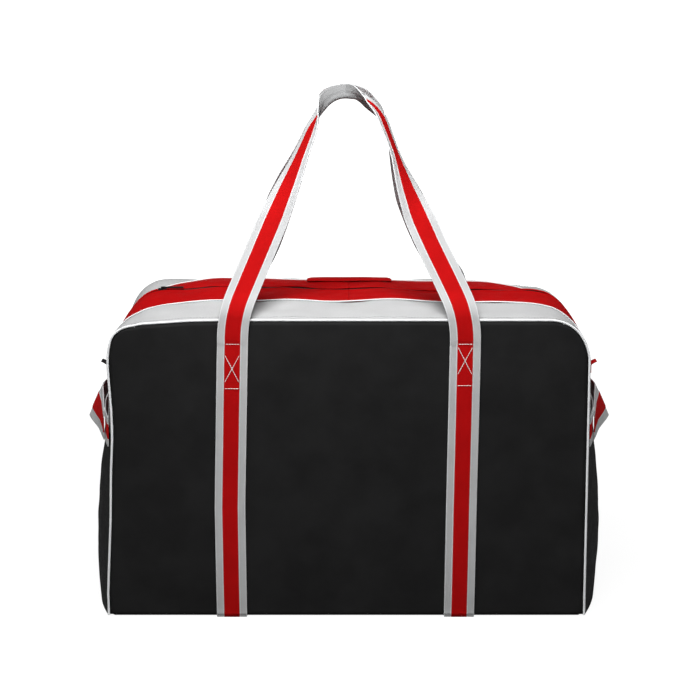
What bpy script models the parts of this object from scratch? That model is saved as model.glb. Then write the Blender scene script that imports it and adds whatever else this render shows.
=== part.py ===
"""Hockey equipment bag: a soft carry bag with a zipped top, two long carry handles and two end loops.

Metres, +Z up. The front faces -Y, the length runs along X, and the bag stands on Z = 0.
Each sewn piece is a thin sheet that follows the bag's crowned outline, with its own thickness.
"""

import math

import bmesh
import bpy
from mathutils import Vector

# Body, measured from seam to seam
BODY_LENGTH = 0.780
BODY_HEIGHT = 0.496
BODY_DEPTH = 0.390
TOP_CORNER_RADIUS = 0.065
FOOT_CORNER_RADIUS = 0.008

# How far the fabric stands out between its seams
PANEL_BULGE = 0.008
TOP_CROWN = 0.0215
BASE_CROWN = 0.033
END_BULGE = 0.012
TOP_CURVE = 4.0
END_CURVE = 2.0

# Materials' thicknesses and the room between neighbours
FABRIC = 0.0022
GAP = 0.0004
PIPING_RADIUS = 0.0024
BOARD = 0.0030
BOARD_MARGIN = 0.012

# Top gusset: grey bands outside, red strips inside, zip in the middle
GREY_WIDTH = 0.083
END_SEAM_Z = 0.303
FLAP_LENGTH = 0.544
ZIP_CHANNEL = 0.014
ZIP_TAPE_WIDTH = 0.026
ZIP_TAPE = 0.0016
ZIP_SLOT = 0.0036
ZIP_END_Z = 0.388
ZIP_OVERLAP = 0.008

# Zip slider and puller
SLIDER_LENGTH = 0.014
SLIDER_WIDTH = 0.010
SLIDER_PARK_X = 0.318
SLIDER_PLATE = 0.0026
SLIDER_SOLE = 0.0016
SLIDER_POST_LENGTH = 0.009
LUG_LENGTH = 0.005
LUG_WIDTH = 0.004
LUG_HEIGHT = 0.0032
PULLER_LENGTH = 0.036
PULLER_THICK = 0.0018
TINE_WIDTH = 0.0018

# Zip end tabs and the rear flap's pull tab
END_TAB_WIDTH = 0.024
END_TAB_FLAT = 0.014
END_TAB_REACH = 0.012
END_TAB_THICK = 0.0020
PULL_TAB_LENGTH = 0.148
PULL_TAB_DEPTH = 0.036
PULL_TAB_THICK = 0.0045
PULL_TAB_SETBACK = 0.006

# Webbing with its narrower red stripe
WEBBING_WIDTH = 0.050
STRIPE_WIDTH = 0.025
WEBBING = 0.0022
STRIPE = 0.0010
STRAP_X = 0.188

# Carry handles
HANDLE_HINGE_Z = 0.465
HANDLE_LEAN_Z = 0.506
HANDLE_BEND = 0.022
HANDLE_TOP_Z = 0.843
HANDLE_APEX_Y = 0.018
GRIP_RADIUS = 0.060
GRIP_HALF = 0.035
GRIP_FOLD = 0.006
FOLD_RUN = 0.050
TWIST_RUN = 0.085

# End grab loops
END_WEB_Z = 0.317
END_WEB_MARGIN = 0.008
LOOP_HALF = 0.085
LOOP_FOOT = 0.024
LOOP_STAND_OFF = 0.005
LOOP_RISE = 0.012
LOOP_TILT = math.radians(24.0)
LOOP_TILT_SHARE = 0.6
LOOP_POWER = 2.5
LOOP_JOINT = 0.8

# Sizes that follow from those above
HALF_X = BODY_LENGTH / 2
HALF_Y = BODY_DEPTH / 2
SEAM_Y = HALF_Y - GREY_WIDTH
FLAP_HALF = FLAP_LENGTH / 2
FOOT_Z = WEBBING + GAP
BAND_EDGE_Y = HALF_Y - PIPING_RADIUS - GAP
SIDE_RUN = BODY_HEIGHT - TOP_CORNER_RADIUS - END_SEAM_Z
ARC_RUN = math.pi / 2 * TOP_CORNER_RADIUS
TOP_RUN = BODY_LENGTH - 2 * TOP_CORNER_RADIUS
HOOP_RUN = 2 * SIDE_RUN + 2 * ARC_RUN + TOP_RUN
PANEL_HALF_X = HALF_X - PIPING_RADIUS - GAP
PANEL_LOW = FOOT_Z
PANEL_HIGH = BODY_HEIGHT - PIPING_RADIUS - GAP
PANEL_MID_Z = (PANEL_LOW + PANEL_HIGH) / 2
PANEL_HALF_Z = (PANEL_HIGH - PANEL_LOW) / 2
ZIP_DROP = FABRIC / 2 + GAP + ZIP_TAPE / 2
ZIP_Z = BODY_HEIGHT + TOP_CROWN - ZIP_DROP
LOOP_JOINT_Y = LOOP_JOINT * LOOP_HALF


# Scene set-up
def clear_scene():
    for obj in list(bpy.data.objects):
        bpy.data.objects.remove(obj, do_unlink=True)


def collection(name):
    made = bpy.data.collections.new(name)
    bpy.context.scene.collection.children.link(made)
    return made


def material(name, colour, roughness, metallic=0.0):
    made = bpy.data.materials.new(name)
    made.use_nodes = True
    shader = made.node_tree.nodes["Principled BSDF"]
    shader.inputs["Base Color"].default_value = (*colour, 1.0)
    shader.inputs["Roughness"].default_value = roughness
    shader.inputs["Metallic"].default_value = metallic
    return made


# Outline functions
def stations(low, high, count):
    """count + 1 evenly spaced values from low to high."""
    return [low + (high - low) * i / count for i in range(count + 1)]


def smooth(t):
    """0 below 0, 1 above 1, with a soft start and end."""
    t = max(0.0, min(1.0, t))
    return t * t * (3.0 - 2.0 * t)


def crown_share(y, curve=END_CURVE):
    """How much of its crown the cloth has at depth y: 0 at the seams and 1 half way."""
    return 1.0 - abs(y / HALF_Y) ** curve


def hoop(s):
    """The seam's point (x, z) and outward direction, s metres along it from the left end seam."""
    if s > HOOP_RUN / 2:
        x, z, out_x, out_z = hoop(HOOP_RUN - s)
        return -x, z, -out_x, out_z
    if s < SIDE_RUN:
        return -HALF_X, END_SEAM_Z + s, -1.0, 0.0
    middle_x = -HALF_X + TOP_CORNER_RADIUS
    middle_z = BODY_HEIGHT - TOP_CORNER_RADIUS
    if s < SIDE_RUN + ARC_RUN:
        turn = (s - SIDE_RUN) / TOP_CORNER_RADIUS
        out_x = -math.cos(turn)
        out_z = math.sin(turn)
        return (
            middle_x + TOP_CORNER_RADIUS * out_x,
            middle_z + TOP_CORNER_RADIUS * out_z,
            out_x,
            out_z,
        )
    return middle_x + (s - SIDE_RUN - ARC_RUN), BODY_HEIGHT, 0.0, 1.0


def hoop_run_at_x(x):
    """Where along the seam the top is at length x."""
    return SIDE_RUN + ARC_RUN + x + HALF_X - TOP_CORNER_RADIUS


def hoop_run_at_z(z):
    """Where along the seam the left end is at height z, on the side run or the corner."""
    if z <= BODY_HEIGHT - TOP_CORNER_RADIUS:
        return z - END_SEAM_Z
    rise = (z - BODY_HEIGHT + TOP_CORNER_RADIUS) / TOP_CORNER_RADIUS
    return SIDE_RUN + TOP_CORNER_RADIUS * math.asin(min(1.0, rise))


def gusset_point(s, y, lift=0.0):
    x, z, out_x, out_z = hoop(s)
    end = crown_share(y)
    top = crown_share(y, TOP_CURVE)
    out = TOP_CROWN * (end + (top - end) * out_z) + lift
    return Vector((x + out_x * out, y, z + out_z * out))


def end_surface(y, z):
    """How far the end fabric is from the middle plane at depth y and height z."""
    share = min(1.0, z / END_SEAM_Z)
    crown = BASE_CROWN + (TOP_CROWN - BASE_CROWN) * share + END_BULGE * math.sin(math.pi * share)
    return HALF_X + crown * crown_share(y)


def round_corner(x, z, corner_x, corner_z, radius):
    """Draws the square corner past (corner_x, corner_z) in to a quarter circle."""
    a = (x - corner_x) / radius
    b = (z - corner_z) / radius
    return (
        corner_x + radius * a * math.sqrt(1.0 - b * b / 2),
        corner_z + radius * b * math.sqrt(1.0 - a * a / 2),
    )


def panel_outline(x, z):
    """Moves a point of the square grid to its place on the panel with rounded corners."""
    top = TOP_CORNER_RADIUS - PIPING_RADIUS - GAP
    foot = FOOT_CORNER_RADIUS
    side = math.copysign(1.0, x)
    x = abs(x)
    if x > PANEL_HALF_X - top and z > PANEL_HIGH - top:
        x, z = round_corner(x, z, PANEL_HALF_X - top, PANEL_HIGH - top, top)
    elif x > PANEL_HALF_X - foot and z < PANEL_LOW + foot:
        x, z = round_corner(x, -z, PANEL_HALF_X - foot, -PANEL_LOW - foot, foot)
        z = -z
    return side * x, z


def pillow(x, z):
    """The panel's bulge, from 0 at its edge to 1 in the middle."""
    across = 1.0 - min(1.0, abs(x) / PANEL_HALF_X) ** 4
    up = 1.0 - min(1.0, abs(z - PANEL_MID_Z) / PANEL_HALF_Z) ** 4
    return across * up


def strap_depth(x, z):
    """Depth of the sewn webbing's middle: it lies on the panel and passes over the piping."""
    under = max(PANEL_BULGE * pillow(x, z) + FABRIC / 2, PIPING_RADIUS)
    return HALF_Y + under + GAP + WEBBING / 2


# Building blocks
def finish(obj, group, look):
    obj.data.materials.append(look)
    group.objects.link(obj)
    return obj


def sheet(name, us, vs, place, thick, group, look, skip=None):
    """A grid laid at place(u, v), less the faces that skip names, thickened by Solidify."""
    mesh = bpy.data.meshes.new(name)
    grid = bmesh.new()
    bmesh.ops.create_grid(grid, x_segments=len(us) - 1, y_segments=len(vs) - 1, size=1.0)
    cells = {}
    for vert in grid.verts:
        i = round((vert.co.x + 1.0) / 2.0 * (len(us) - 1))
        j = round((vert.co.y + 1.0) / 2.0 * (len(vs) - 1))
        cells[vert] = (us[i], vs[j])
    if skip:
        holes = []
        for face in grid.faces:
            u = sum(cells[vert][0] for vert in face.verts) / len(face.verts)
            v = sum(cells[vert][1] for vert in face.verts) / len(face.verts)
            if skip(u, v):
                holes.append(face)
        bmesh.ops.delete(grid, geom=holes, context="FACES")
    for vert in grid.verts:
        vert.co = place(*cells[vert])
    grid.to_mesh(mesh)
    grid.free()
    obj = finish(bpy.data.objects.new(name, mesh), group, look)
    shell = obj.modifiers.new("Thickness", "SOLIDIFY")
    shell.thickness = thick
    shell.offset = 0.0
    shell.use_even_offset = True
    return obj


def raised(place, distance, step=1e-4):
    """The surface that lies distance away from place(u, v), on the side of du x dv."""

    def moved(u, v):
        along = place(u + step, v) - place(u - step, v)
        across = place(u, v + step) - place(u, v - step)
        return place(u, v) + along.cross(across).normalized() * distance

    return moved


def block(name, low, high, group, look):
    """A box from one corner to the other."""
    mesh = bpy.data.meshes.new(name)
    cube = bmesh.new()
    bmesh.ops.create_cube(cube, size=1.0)
    for vert in cube.verts:
        vert.co = Vector(low).lerp(Vector(high), 0.5) + Vector(
            ((high[k] - low[k]) * vert.co[k] for k in range(3))
        )
    cube.to_mesh(mesh)
    cube.free()
    return finish(bpy.data.objects.new(name, mesh), group, look)


def combine(obj, other, operation):
    """Joins or cuts obj with a helper that isn't part of the bag."""
    other.hide_render = True
    other.display_type = "WIRE"
    change = obj.modifiers.new(operation.title() + " " + other.name, "BOOLEAN")
    change.operation = operation
    change.object = other


def hang_on(pieces, name, at, group):
    """Puts the moving pieces under an empty on their joint's axis, without moving them."""
    axis = bpy.data.objects.new(name, None)
    axis.empty_display_size = 0.03
    axis.location = at
    group.objects.link(axis)
    for piece in pieces:
        piece.parent = axis
        piece.location = -Vector(at)
    return axis


# Body panels
def piping_line(turns):
    """The piping's line up one side of a panel, over the top and down the other, as (x, z) points."""
    middle_x = HALF_X - TOP_CORNER_RADIUS
    middle_z = BODY_HEIGHT - TOP_CORNER_RADIUS
    line = [(HALF_X, FOOT_Z)]
    for side in (1.0, -1.0):
        corner = []
        for i in range(turns + 1):
            turn = math.pi / 2 * i / turns
            x = middle_x + TOP_CORNER_RADIUS * math.cos(turn)
            corner.append((side * x, middle_z + TOP_CORNER_RADIUS * math.sin(turn)))
        line += corner if side > 0 else corner[::-1]
    return line + [(-HALF_X, FOOT_Z)]


def piping(name, y, group, look):
    curve = bpy.data.curves.new(name, "CURVE")
    curve.dimensions = "3D"
    curve.bevel_depth = PIPING_RADIUS
    curve.bevel_resolution = 2
    curve.use_fill_caps = True
    spline = curve.splines.new("POLY")
    line = piping_line(10)
    spline.points.add(len(line) - 1)
    for point, (x, z) in zip(spline.points, line):
        point.co = (x, y, z, 1.0)
    return finish(bpy.data.objects.new(name, curve), group, look)


def panel(name, side, group, look):
    top = TOP_CORNER_RADIUS - PIPING_RADIUS - GAP
    foot = FOOT_CORNER_RADIUS
    inner_x = PANEL_HALF_X - top
    right = stations(inner_x, PANEL_HALF_X - foot, 4) + stations(PANEL_HALF_X - foot, PANEL_HALF_X, 3)[1:]
    xs = [-x for x in reversed(right)] + stations(-inner_x, inner_x, 6)[1:-1] + right
    zs = stations(PANEL_LOW, PANEL_LOW + foot, 3)[:-1]
    zs += stations(PANEL_LOW + foot, PANEL_HIGH - top, 7)
    zs += stations(PANEL_HIGH - top, PANEL_HIGH, 5)[1:]

    def place(x, z):
        x, z = panel_outline(x, z)
        return Vector((x, side * (HALF_Y + PANEL_BULGE * pillow(x, z)), z))

    return sheet(name, xs, zs, place, FABRIC, group, look)


def end_stations():
    return stations(-BAND_EDGE_Y, BAND_EDGE_Y, 16)


def end_panel(name, side, group, look):
    zs = stations(FOOT_Z, END_SEAM_Z - GAP / 2, 8)

    def place(y, z):
        return Vector((side * end_surface(y, z), y, z))

    return sheet(name, end_stations(), zs, place, FABRIC, group, look)


def base_panel(name, group, look):
    """The floor of the bag, its ends bowed out as the end panels are."""
    inside = FABRIC + GAP

    def place(share, y):
        return Vector((share * (end_surface(y, 0.0) - inside), y, FOOT_Z + FABRIC / 2))

    return sheet(name, stations(-1.0, 1.0, 4), end_stations(), place, FABRIC, group, look)


# Top gusset
def band_stations():
    """Runs along the whole gusset, close together round the corners."""
    low = GAP / 2
    corner = SIDE_RUN + ARC_RUN
    half = stations(low, SIDE_RUN, 3) + stations(SIDE_RUN, corner, 8)[1:]
    top = stations(corner, corner + TOP_RUN, 6)[1:-1]
    return half + top + [HOOP_RUN - s for s in reversed(half)]


def grey_band(name, side, group, look):
    ys = stations(side * (SEAM_Y + GAP / 2), side * BAND_EDGE_Y, 4)
    return sheet(name, band_stations(), ys, gusset_point, FABRIC, group, look)


def end_runs(low):
    """Runs from low on the left end up to the flap's end on the top."""
    corner = SIDE_RUN + ARC_RUN
    last = hoop_run_at_x(-FLAP_HALF - GAP)
    mouth = hoop_run_at_z(ZIP_END_Z)
    runs = []
    if low < mouth - ZIP_OVERLAP:
        runs += stations(low, mouth, 3)[:-1]
    runs += [s for s in stations(mouth, SIDE_RUN, 2)[:-1] if s < SIDE_RUN]
    runs += stations(SIDE_RUN, corner, 8)[:-1]
    runs += [corner, hoop_run_at_x(-SLIDER_PARK_X - SLIDER_LENGTH / 2 - GAP), last]
    if low >= mouth - ZIP_OVERLAP:
        runs = [low] + runs
    return sorted(set(runs))


def mirrored(place, side):
    def placed(s, y):
        at = place(s, y)
        return Vector((-side * at.x, at.y, at.z))

    return placed


def red_gusset(name, side, group, look):
    mouth = hoop_run_at_z(ZIP_END_Z)
    near = stations(ZIP_CHANNEL / 2, SEAM_Y - GAP / 2, 3)
    ys = [-y for y in reversed(near)] + near
    runs = end_runs(GAP / 2)

    def skip(s, y):
        return s > mouth and abs(y) < ZIP_CHANNEL / 2

    return sheet(name, runs, ys, mirrored(gusset_point, side), FABRIC, group, look, skip)


def zip_end(name, side, group, look):
    """The fixed tape round one end, with the slot that the slider's post runs in."""
    runs = end_runs(hoop_run_at_z(ZIP_END_Z) - ZIP_OVERLAP)
    ys = (-ZIP_TAPE_WIDTH / 2, -ZIP_SLOT / 2, ZIP_SLOT / 2, ZIP_TAPE_WIDTH / 2)
    slot = hoop_run_at_x(-SLIDER_PARK_X - SLIDER_LENGTH / 2 - GAP)

    def place(s, y):
        return gusset_point(s, y, -ZIP_DROP)

    def skip(s, y):
        return s > slot and abs(y) < ZIP_SLOT / 2

    return sheet(name, runs, ys, mirrored(place, side), ZIP_TAPE, group, look, skip)


def flap(name, side, group, look):
    xs = stations(-FLAP_HALF, FLAP_HALF, 6)
    ys = stations(side * ZIP_CHANNEL / 2, side * (SEAM_Y - GAP / 2), 4)

    def place(x, y):
        return gusset_point(hoop_run_at_x(x), y)

    return sheet(name, xs, ys, place, FABRIC, group, look)


def zip_half(name, side, group, look):
    xs = stations(-FLAP_HALF, FLAP_HALF, 6)
    ys = (side * ZIP_SLOT / 2, side * ZIP_TAPE_WIDTH / 2)

    def place(x, y):
        return gusset_point(hoop_run_at_x(x), y, -ZIP_DROP)

    return sheet(name, xs, ys, place, ZIP_TAPE, group, look)


def pull_tab(name, group, look):
    """The raised tab in the middle of the rear flap."""
    far = SEAM_Y - PULL_TAB_SETBACK
    xs = stations(-PULL_TAB_LENGTH / 2, PULL_TAB_LENGTH / 2, 6)
    ys = stations(far - PULL_TAB_DEPTH, far, 4)
    lift = FABRIC / 2 + GAP + PULL_TAB_THICK / 2

    def place(x, y):
        return gusset_point(hoop_run_at_x(x), y, lift)

    return sheet(name, xs, ys, place, PULL_TAB_THICK, group, look)


def zip_tab(name, side, group, look):
    """A short tab sewn flat below the end of the zip, its upper end standing out."""
    flat = FABRIC / 2 + GAP + END_TAB_THICK / 2
    low = ZIP_END_Z - END_TAB_FLAT
    runs = stations(0.0, END_TAB_FLAT, 2) + stations(END_TAB_FLAT, END_TAB_FLAT + END_TAB_REACH, 4)[1:]
    ys = stations(-END_TAB_WIDTH / 2, END_TAB_WIDTH / 2, 2)

    def place(run, y):
        out = max(0.0, run - END_TAB_FLAT) / END_TAB_REACH
        lift = flat + END_TAB_REACH * out * (0.4 + 0.5 * out)
        rise = low + min(run, END_TAB_FLAT) + END_TAB_REACH * out * 0.5
        at = gusset_point(hoop_run_at_z(low), y, lift)
        return Vector((-side * at.x, y, rise))

    return sheet(name, runs, ys, place, END_TAB_THICK, group, look)


# Zip slider and puller
def zip_slider(name, group, helpers, look):
    x = -SLIDER_PARK_X
    under = ZIP_Z + ZIP_TAPE / 2 + GAP
    sole = ZIP_Z - ZIP_TAPE / 2 - GAP
    bite = 0.0004
    post = ZIP_SLOT / 2 - GAP
    long = SLIDER_LENGTH / 2
    plate = block(
        name,
        (x - long, -SLIDER_WIDTH / 2, under),
        (x + long, SLIDER_WIDTH / 2, under + SLIDER_PLATE),
        group,
        look,
    )
    stem = block(
        "slider post",
        (x - SLIDER_POST_LENGTH / 2, -post, sole - bite),
        (x + SLIDER_POST_LENGTH / 2, post, under + bite),
        helpers,
        look,
    )
    foot = block(
        "slider sole",
        (x - long, -SLIDER_WIDTH / 2, sole - SLIDER_SOLE),
        (x + long, SLIDER_WIDTH / 2, sole),
        helpers,
        look,
    )
    lug = block(
        "slider lug",
        (x - LUG_LENGTH / 2, -LUG_WIDTH / 2, under + SLIDER_PLATE - bite),
        (x + LUG_LENGTH / 2, LUG_WIDTH / 2, under + SLIDER_PLATE + LUG_HEIGHT),
        helpers,
        look,
    )
    for piece in (stem, foot, lug):
        combine(plate, piece, "UNION")
    return plate


def puller_axis():
    top = ZIP_Z + ZIP_TAPE / 2 + GAP + SLIDER_PLATE
    return (-SLIDER_PARK_X, 0.0, top + LUG_HEIGHT * 0.6)


def zip_puller(name, group, helpers, look):
    """A flat puller whose two tines stand beside the slider's lug."""
    x, _, z = puller_axis()
    half = PULLER_THICK / 2
    tine_in = LUG_WIDTH / 2 + GAP
    tine_out = tine_in + TINE_WIDTH
    start = x + LUG_LENGTH / 2 + GAP * 2
    blade = block(name, (start, -tine_out, z - half), (x + PULLER_LENGTH, tine_out, z + half), group, look)
    for side in (-1.0, 1.0):
        near = min(side * tine_in, side * tine_out)
        far = max(side * tine_in, side * tine_out)
        tine = block(
            "puller tine",
            (x - half, near, z - half),
            (start + TINE_WIDTH, far, z + half),
            helpers,
            look,
        )
        combine(blade, tine, "UNION")
    return blade


# Webbing sewn on the body
def strap_runs():
    return stations(WEBBING + GAP, HANDLE_HINGE_Z - GAP / 2, 18)


def sewn_strap(name, x, side, group, look):
    xs = stations(x - WEBBING_WIDTH / 2, x + WEBBING_WIDTH / 2, 2)

    def place(at, z):
        return Vector((at, side * strap_depth(at, z), z))

    return sheet(name, xs, strap_runs(), place, WEBBING, group, look)


def sewn_stripe(name, x, side, group, look):
    xs = stations(x - STRIPE_WIDTH / 2, x + STRIPE_WIDTH / 2, 2)
    over = WEBBING / 2 + GAP + STRIPE / 2

    def place(at, z):
        return Vector((at, side * (strap_depth(at, z) + over), z))

    return sheet(name, xs, strap_runs(), place, STRIPE, group, look)


def under_strap(name, x, group, look):
    reach = HALF_Y + PIPING_RADIUS + GAP + WEBBING
    low = (x - WEBBING_WIDTH / 2, -reach, 0.0)
    high = (x + WEBBING_WIDTH / 2, reach, WEBBING)
    return block(name, low, high, group, look)


# Carry handles
def handle_depth():
    return strap_depth(STRAP_X, HANDLE_HINGE_Z)


def handle_shape():
    """Leg angle, leg length and arc length of half a handle, and its leaning direction."""
    lean = Vector((0.0, handle_depth() - HANDLE_APEX_Y, HANDLE_TOP_Z - HANDLE_LEAN_Z))
    reach = lean.length - GRIP_RADIUS
    far = math.hypot(STRAP_X, reach)
    leg_angle = math.atan2(STRAP_X, reach) - math.asin(GRIP_RADIUS / far)
    leg = math.sqrt(far * far - GRIP_RADIUS * GRIP_RADIUS)
    arc = GRIP_RADIUS * (math.pi / 2 - leg_angle)
    return leg_angle, leg, arc, lean


def handle_half():
    return HANDLE_LEAN_Z - HANDLE_HINGE_Z + handle_shape()[1] + handle_shape()[2]


def handle_line(run):
    """The front handle's middle line, run metres from its right hinge, before the bend is eased."""
    leg_angle, leg, arc, lean = handle_shape()
    rise = HANDLE_LEAN_Z - HANDLE_HINGE_Z
    up = lean.normalized()
    whole = rise + leg + arc
    if run > whole:
        at = handle_line(2 * whole - run)
        return Vector((-at.x, at.y, at.z))
    base = Vector((STRAP_X, -handle_depth(), HANDLE_LEAN_Z))
    if run < rise:
        return base + Vector((0.0, 0.0, run - rise))
    if run < rise + leg:
        x = -(run - rise) * math.sin(leg_angle)
        return base + Vector((x, 0.0, 0.0)) + up * ((run - rise) * math.cos(leg_angle))
    turn = leg_angle + (run - rise - leg) / GRIP_RADIUS
    middle = base - Vector((STRAP_X, 0.0, 0.0)) + up * (lean.length - GRIP_RADIUS)
    return middle + Vector((GRIP_RADIUS * math.cos(turn), 0.0, 0.0)) + up * (GRIP_RADIUS * math.sin(turn))


def handle_eased(run):
    """The same line with the bend over the top seam drawn to a smooth curve."""
    whole = handle_half()
    bend = HANDLE_LEAN_Z - HANDLE_HINGE_Z
    from_end = min(run, 2 * whole - run)
    t = (from_end - bend + HANDLE_BEND) / (2 * HANDLE_BEND)
    if not 0.0 < t < 1.0:
        return handle_line(run)
    first = handle_line(bend - HANDLE_BEND)
    last = handle_line(bend + HANDLE_BEND)
    at = first.lerp(handle_line(bend), t).lerp(handle_line(bend).lerp(last, t), t)
    return at if run < whole else Vector((-at.x, at.y, at.z))


def handle_place(run, v):
    """A point of the front handle's webbing: run along it and v across it."""
    step = 1e-4
    whole = handle_half()
    bend = HANDLE_LEAN_Z - HANDLE_HINGE_Z
    from_end = min(run, 2 * whole - run)
    up = handle_shape()[3].normalized()
    leaned = smooth((from_end - bend + HANDLE_BEND) / (2 * HANDLE_BEND))
    face = Vector((0.0, -1.0, 0.0)).lerp(Vector((0.0, -up.z, up.y)), leaned)
    along = (handle_eased(run + step) - handle_eased(run - step)).normalized()
    out = along.cross(face).normalized()
    face = out.cross(along).normalized()
    from_top = abs(whole - run)
    twist = math.pi / 2 * (1.0 - smooth((from_top - GRIP_HALF) / TWIST_RUN))
    fold = math.pi / 2 * (1.0 - smooth((from_top - GRIP_HALF) / FOLD_RUN))
    outer = face * math.cos(twist) + out * math.sin(twist)
    across = along.cross(outer)
    reach = abs(v)
    bent = min(reach, GRIP_FOLD)
    rest = reach - bent
    if fold > 1e-6:
        angle = fold * bent / GRIP_FOLD
        radius = GRIP_FOLD / fold
        sideways = radius * math.sin(angle) + rest * math.cos(fold)
        upward = radius * (1.0 - math.cos(angle)) + rest * math.sin(fold)
    else:
        sideways = reach
        upward = 0.0
    return handle_eased(run) + across * math.copysign(sideways, v) + outer * upward


def handle_runs():
    whole = handle_half()
    bend = HANDLE_LEAN_Z - HANDLE_HINGE_Z
    marks = stations(GAP / 2, bend - HANDLE_BEND, 1)
    marks += stations(bend - HANDLE_BEND, bend + HANDLE_BEND, 4)[1:]
    marks += stations(bend + HANDLE_BEND, whole - GRIP_HALF - TWIST_RUN, 3)[1:]
    marks += stations(whole - GRIP_HALF - TWIST_RUN, whole - GRIP_HALF, 9)[1:]
    marks += stations(whole - GRIP_HALF, whole, 5)[1:]
    return marks + [2 * whole - run for run in reversed(marks[:-1])]


def handle_widths(width):
    """Places across the webbing or its stripe, closer where the grip folds."""
    near = [0.0, GRIP_FOLD / 2, GRIP_FOLD, STRIPE_WIDTH / 2]
    if width > STRIPE_WIDTH:
        near.append(width / 2)
    return [-v for v in reversed(near[1:])] + near


def handle_on(side, lift=0.0):
    """The front handle's surface, or the rear one's, lifted off it by lift."""
    lifted = raised(handle_place, -lift) if lift else handle_place

    def place(run, v):
        at = lifted(run, v)
        return Vector((at.x, -side * at.y, at.z))

    return place


def handle_webbing(name, side, group, look):
    widths = handle_widths(WEBBING_WIDTH)
    return sheet(name, handle_runs(), widths, handle_on(side), WEBBING, group, look)


def handle_stripe(name, side, group, look):
    over = WEBBING / 2 + GAP + STRIPE / 2
    widths = handle_widths(STRIPE_WIDTH)
    return sheet(name, handle_runs(), widths, handle_on(side, over), STRIPE, group, look)


def handle_axis(side):
    """The hinge lies on the outer face of the sewn stripe, where the webbing folds over."""
    depth = handle_depth() + WEBBING / 2 + GAP + STRIPE
    return (0.0, side * depth, HANDLE_HINGE_Z)


# End grab loops
def end_webbing(name, side, group, look):
    ys = stations(-HALF_Y + END_WEB_MARGIN, HALF_Y - END_WEB_MARGIN, 22)
    zs = stations(END_WEB_Z - WEBBING_WIDTH / 2, END_WEB_Z + WEBBING_WIDTH / 2, 4)
    lift = FABRIC / 2 + GAP + WEBBING / 2

    def fabric(y, z):
        return Vector((side * end_surface(y, z), y, z))

    return sheet(name, ys, zs, raised(fabric, side * lift), WEBBING, group, look)


def loop_share(y):
    """How far out the loop stands at depth y, from 0 at its feet to 1 in the middle."""
    return max(0.0, 1.0 - (abs(y) / LOOP_HALF) ** LOOP_POWER)


def loop_place(side):
    """The loop's surface: its upper edge stays near the bag and its lower edge stands out."""
    base = FABRIC / 2 + GAP + WEBBING + GAP + WEBBING / 2

    def place(y, w):
        share = loop_share(y)
        tilt = LOOP_TILT * min(1.0, share / LOOP_TILT_SHARE)
        below = WEBBING_WIDTH / 2 - w
        foot = end_surface(y, END_WEB_Z + w)
        free = end_surface(y, END_WEB_Z)
        out = foot + (free - foot) * share + base + LOOP_STAND_OFF * share + below * math.sin(tilt)
        high = END_WEB_Z + WEBBING_WIDTH / 2 + LOOP_RISE * share
        return Vector((side * out, y, high - below * math.cos(tilt)))

    return place


def loop_sheet(name, side, width, thick, lift, reach, count, group, look):
    ys = stations(-reach, reach, count)
    ws = stations(-width / 2, width / 2, 4)
    place = loop_place(side)
    if lift:
        place = raised(place, lift if side > 0 else -lift)
    return sheet(name, ys, ws, place, thick, group, look)


def loop_pieces(word, side, group, helpers, look, stripe_look):
    """The grab loop cut from its two sewn feet, and the loop's stripe."""
    whole = LOOP_HALF + LOOP_FOOT
    tall = WEBBING_WIDTH * 2
    near = HALF_X - WEBBING_WIDTH
    far = HALF_X + TOP_CROWN + END_BULGE + WEBBING_WIDTH * 2
    low_x = min(side * near, side * far)
    high_x = max(side * near, side * far)
    cuts = {
        word + "_front_foot": (-whole * 2, -LOOP_JOINT_Y - GAP / 2),
        word + "_handle_loop": (-LOOP_JOINT_Y + GAP / 2, LOOP_JOINT_Y - GAP / 2),
        word + "_rear_foot": (LOOP_JOINT_Y + GAP / 2, whole * 2),
    }
    made = []
    for name, (low_y, high_y) in cuts.items():
        piece = loop_sheet(name, side, WEBBING_WIDTH, WEBBING, 0.0, whole, 26, group, look)
        cutter = block(
            name + " cutter",
            (low_x, low_y, END_WEB_Z - tall),
            (high_x, high_y, END_WEB_Z + tall),
            helpers,
            look,
        )
        combine(piece, cutter, "INTERSECT")
        made.append(piece)
    over = WEBBING / 2 + GAP + STRIPE / 2
    reach = LOOP_JOINT_Y - over
    stripe = loop_sheet(
        word + "_loop_stripe", side, STRIPE_WIDTH, STRIPE, over, reach, 20, group, stripe_look
    )
    return made[1], stripe


def loop_axis(side):
    """The hinge runs level with the top of the loop, as far out as the loop leaves its feet."""
    place = loop_place(side)
    return (place(LOOP_JOINT_Y, WEBBING_WIDTH / 2).x, 0.0, place(0.0, WEBBING_WIDTH / 2).z)


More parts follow.
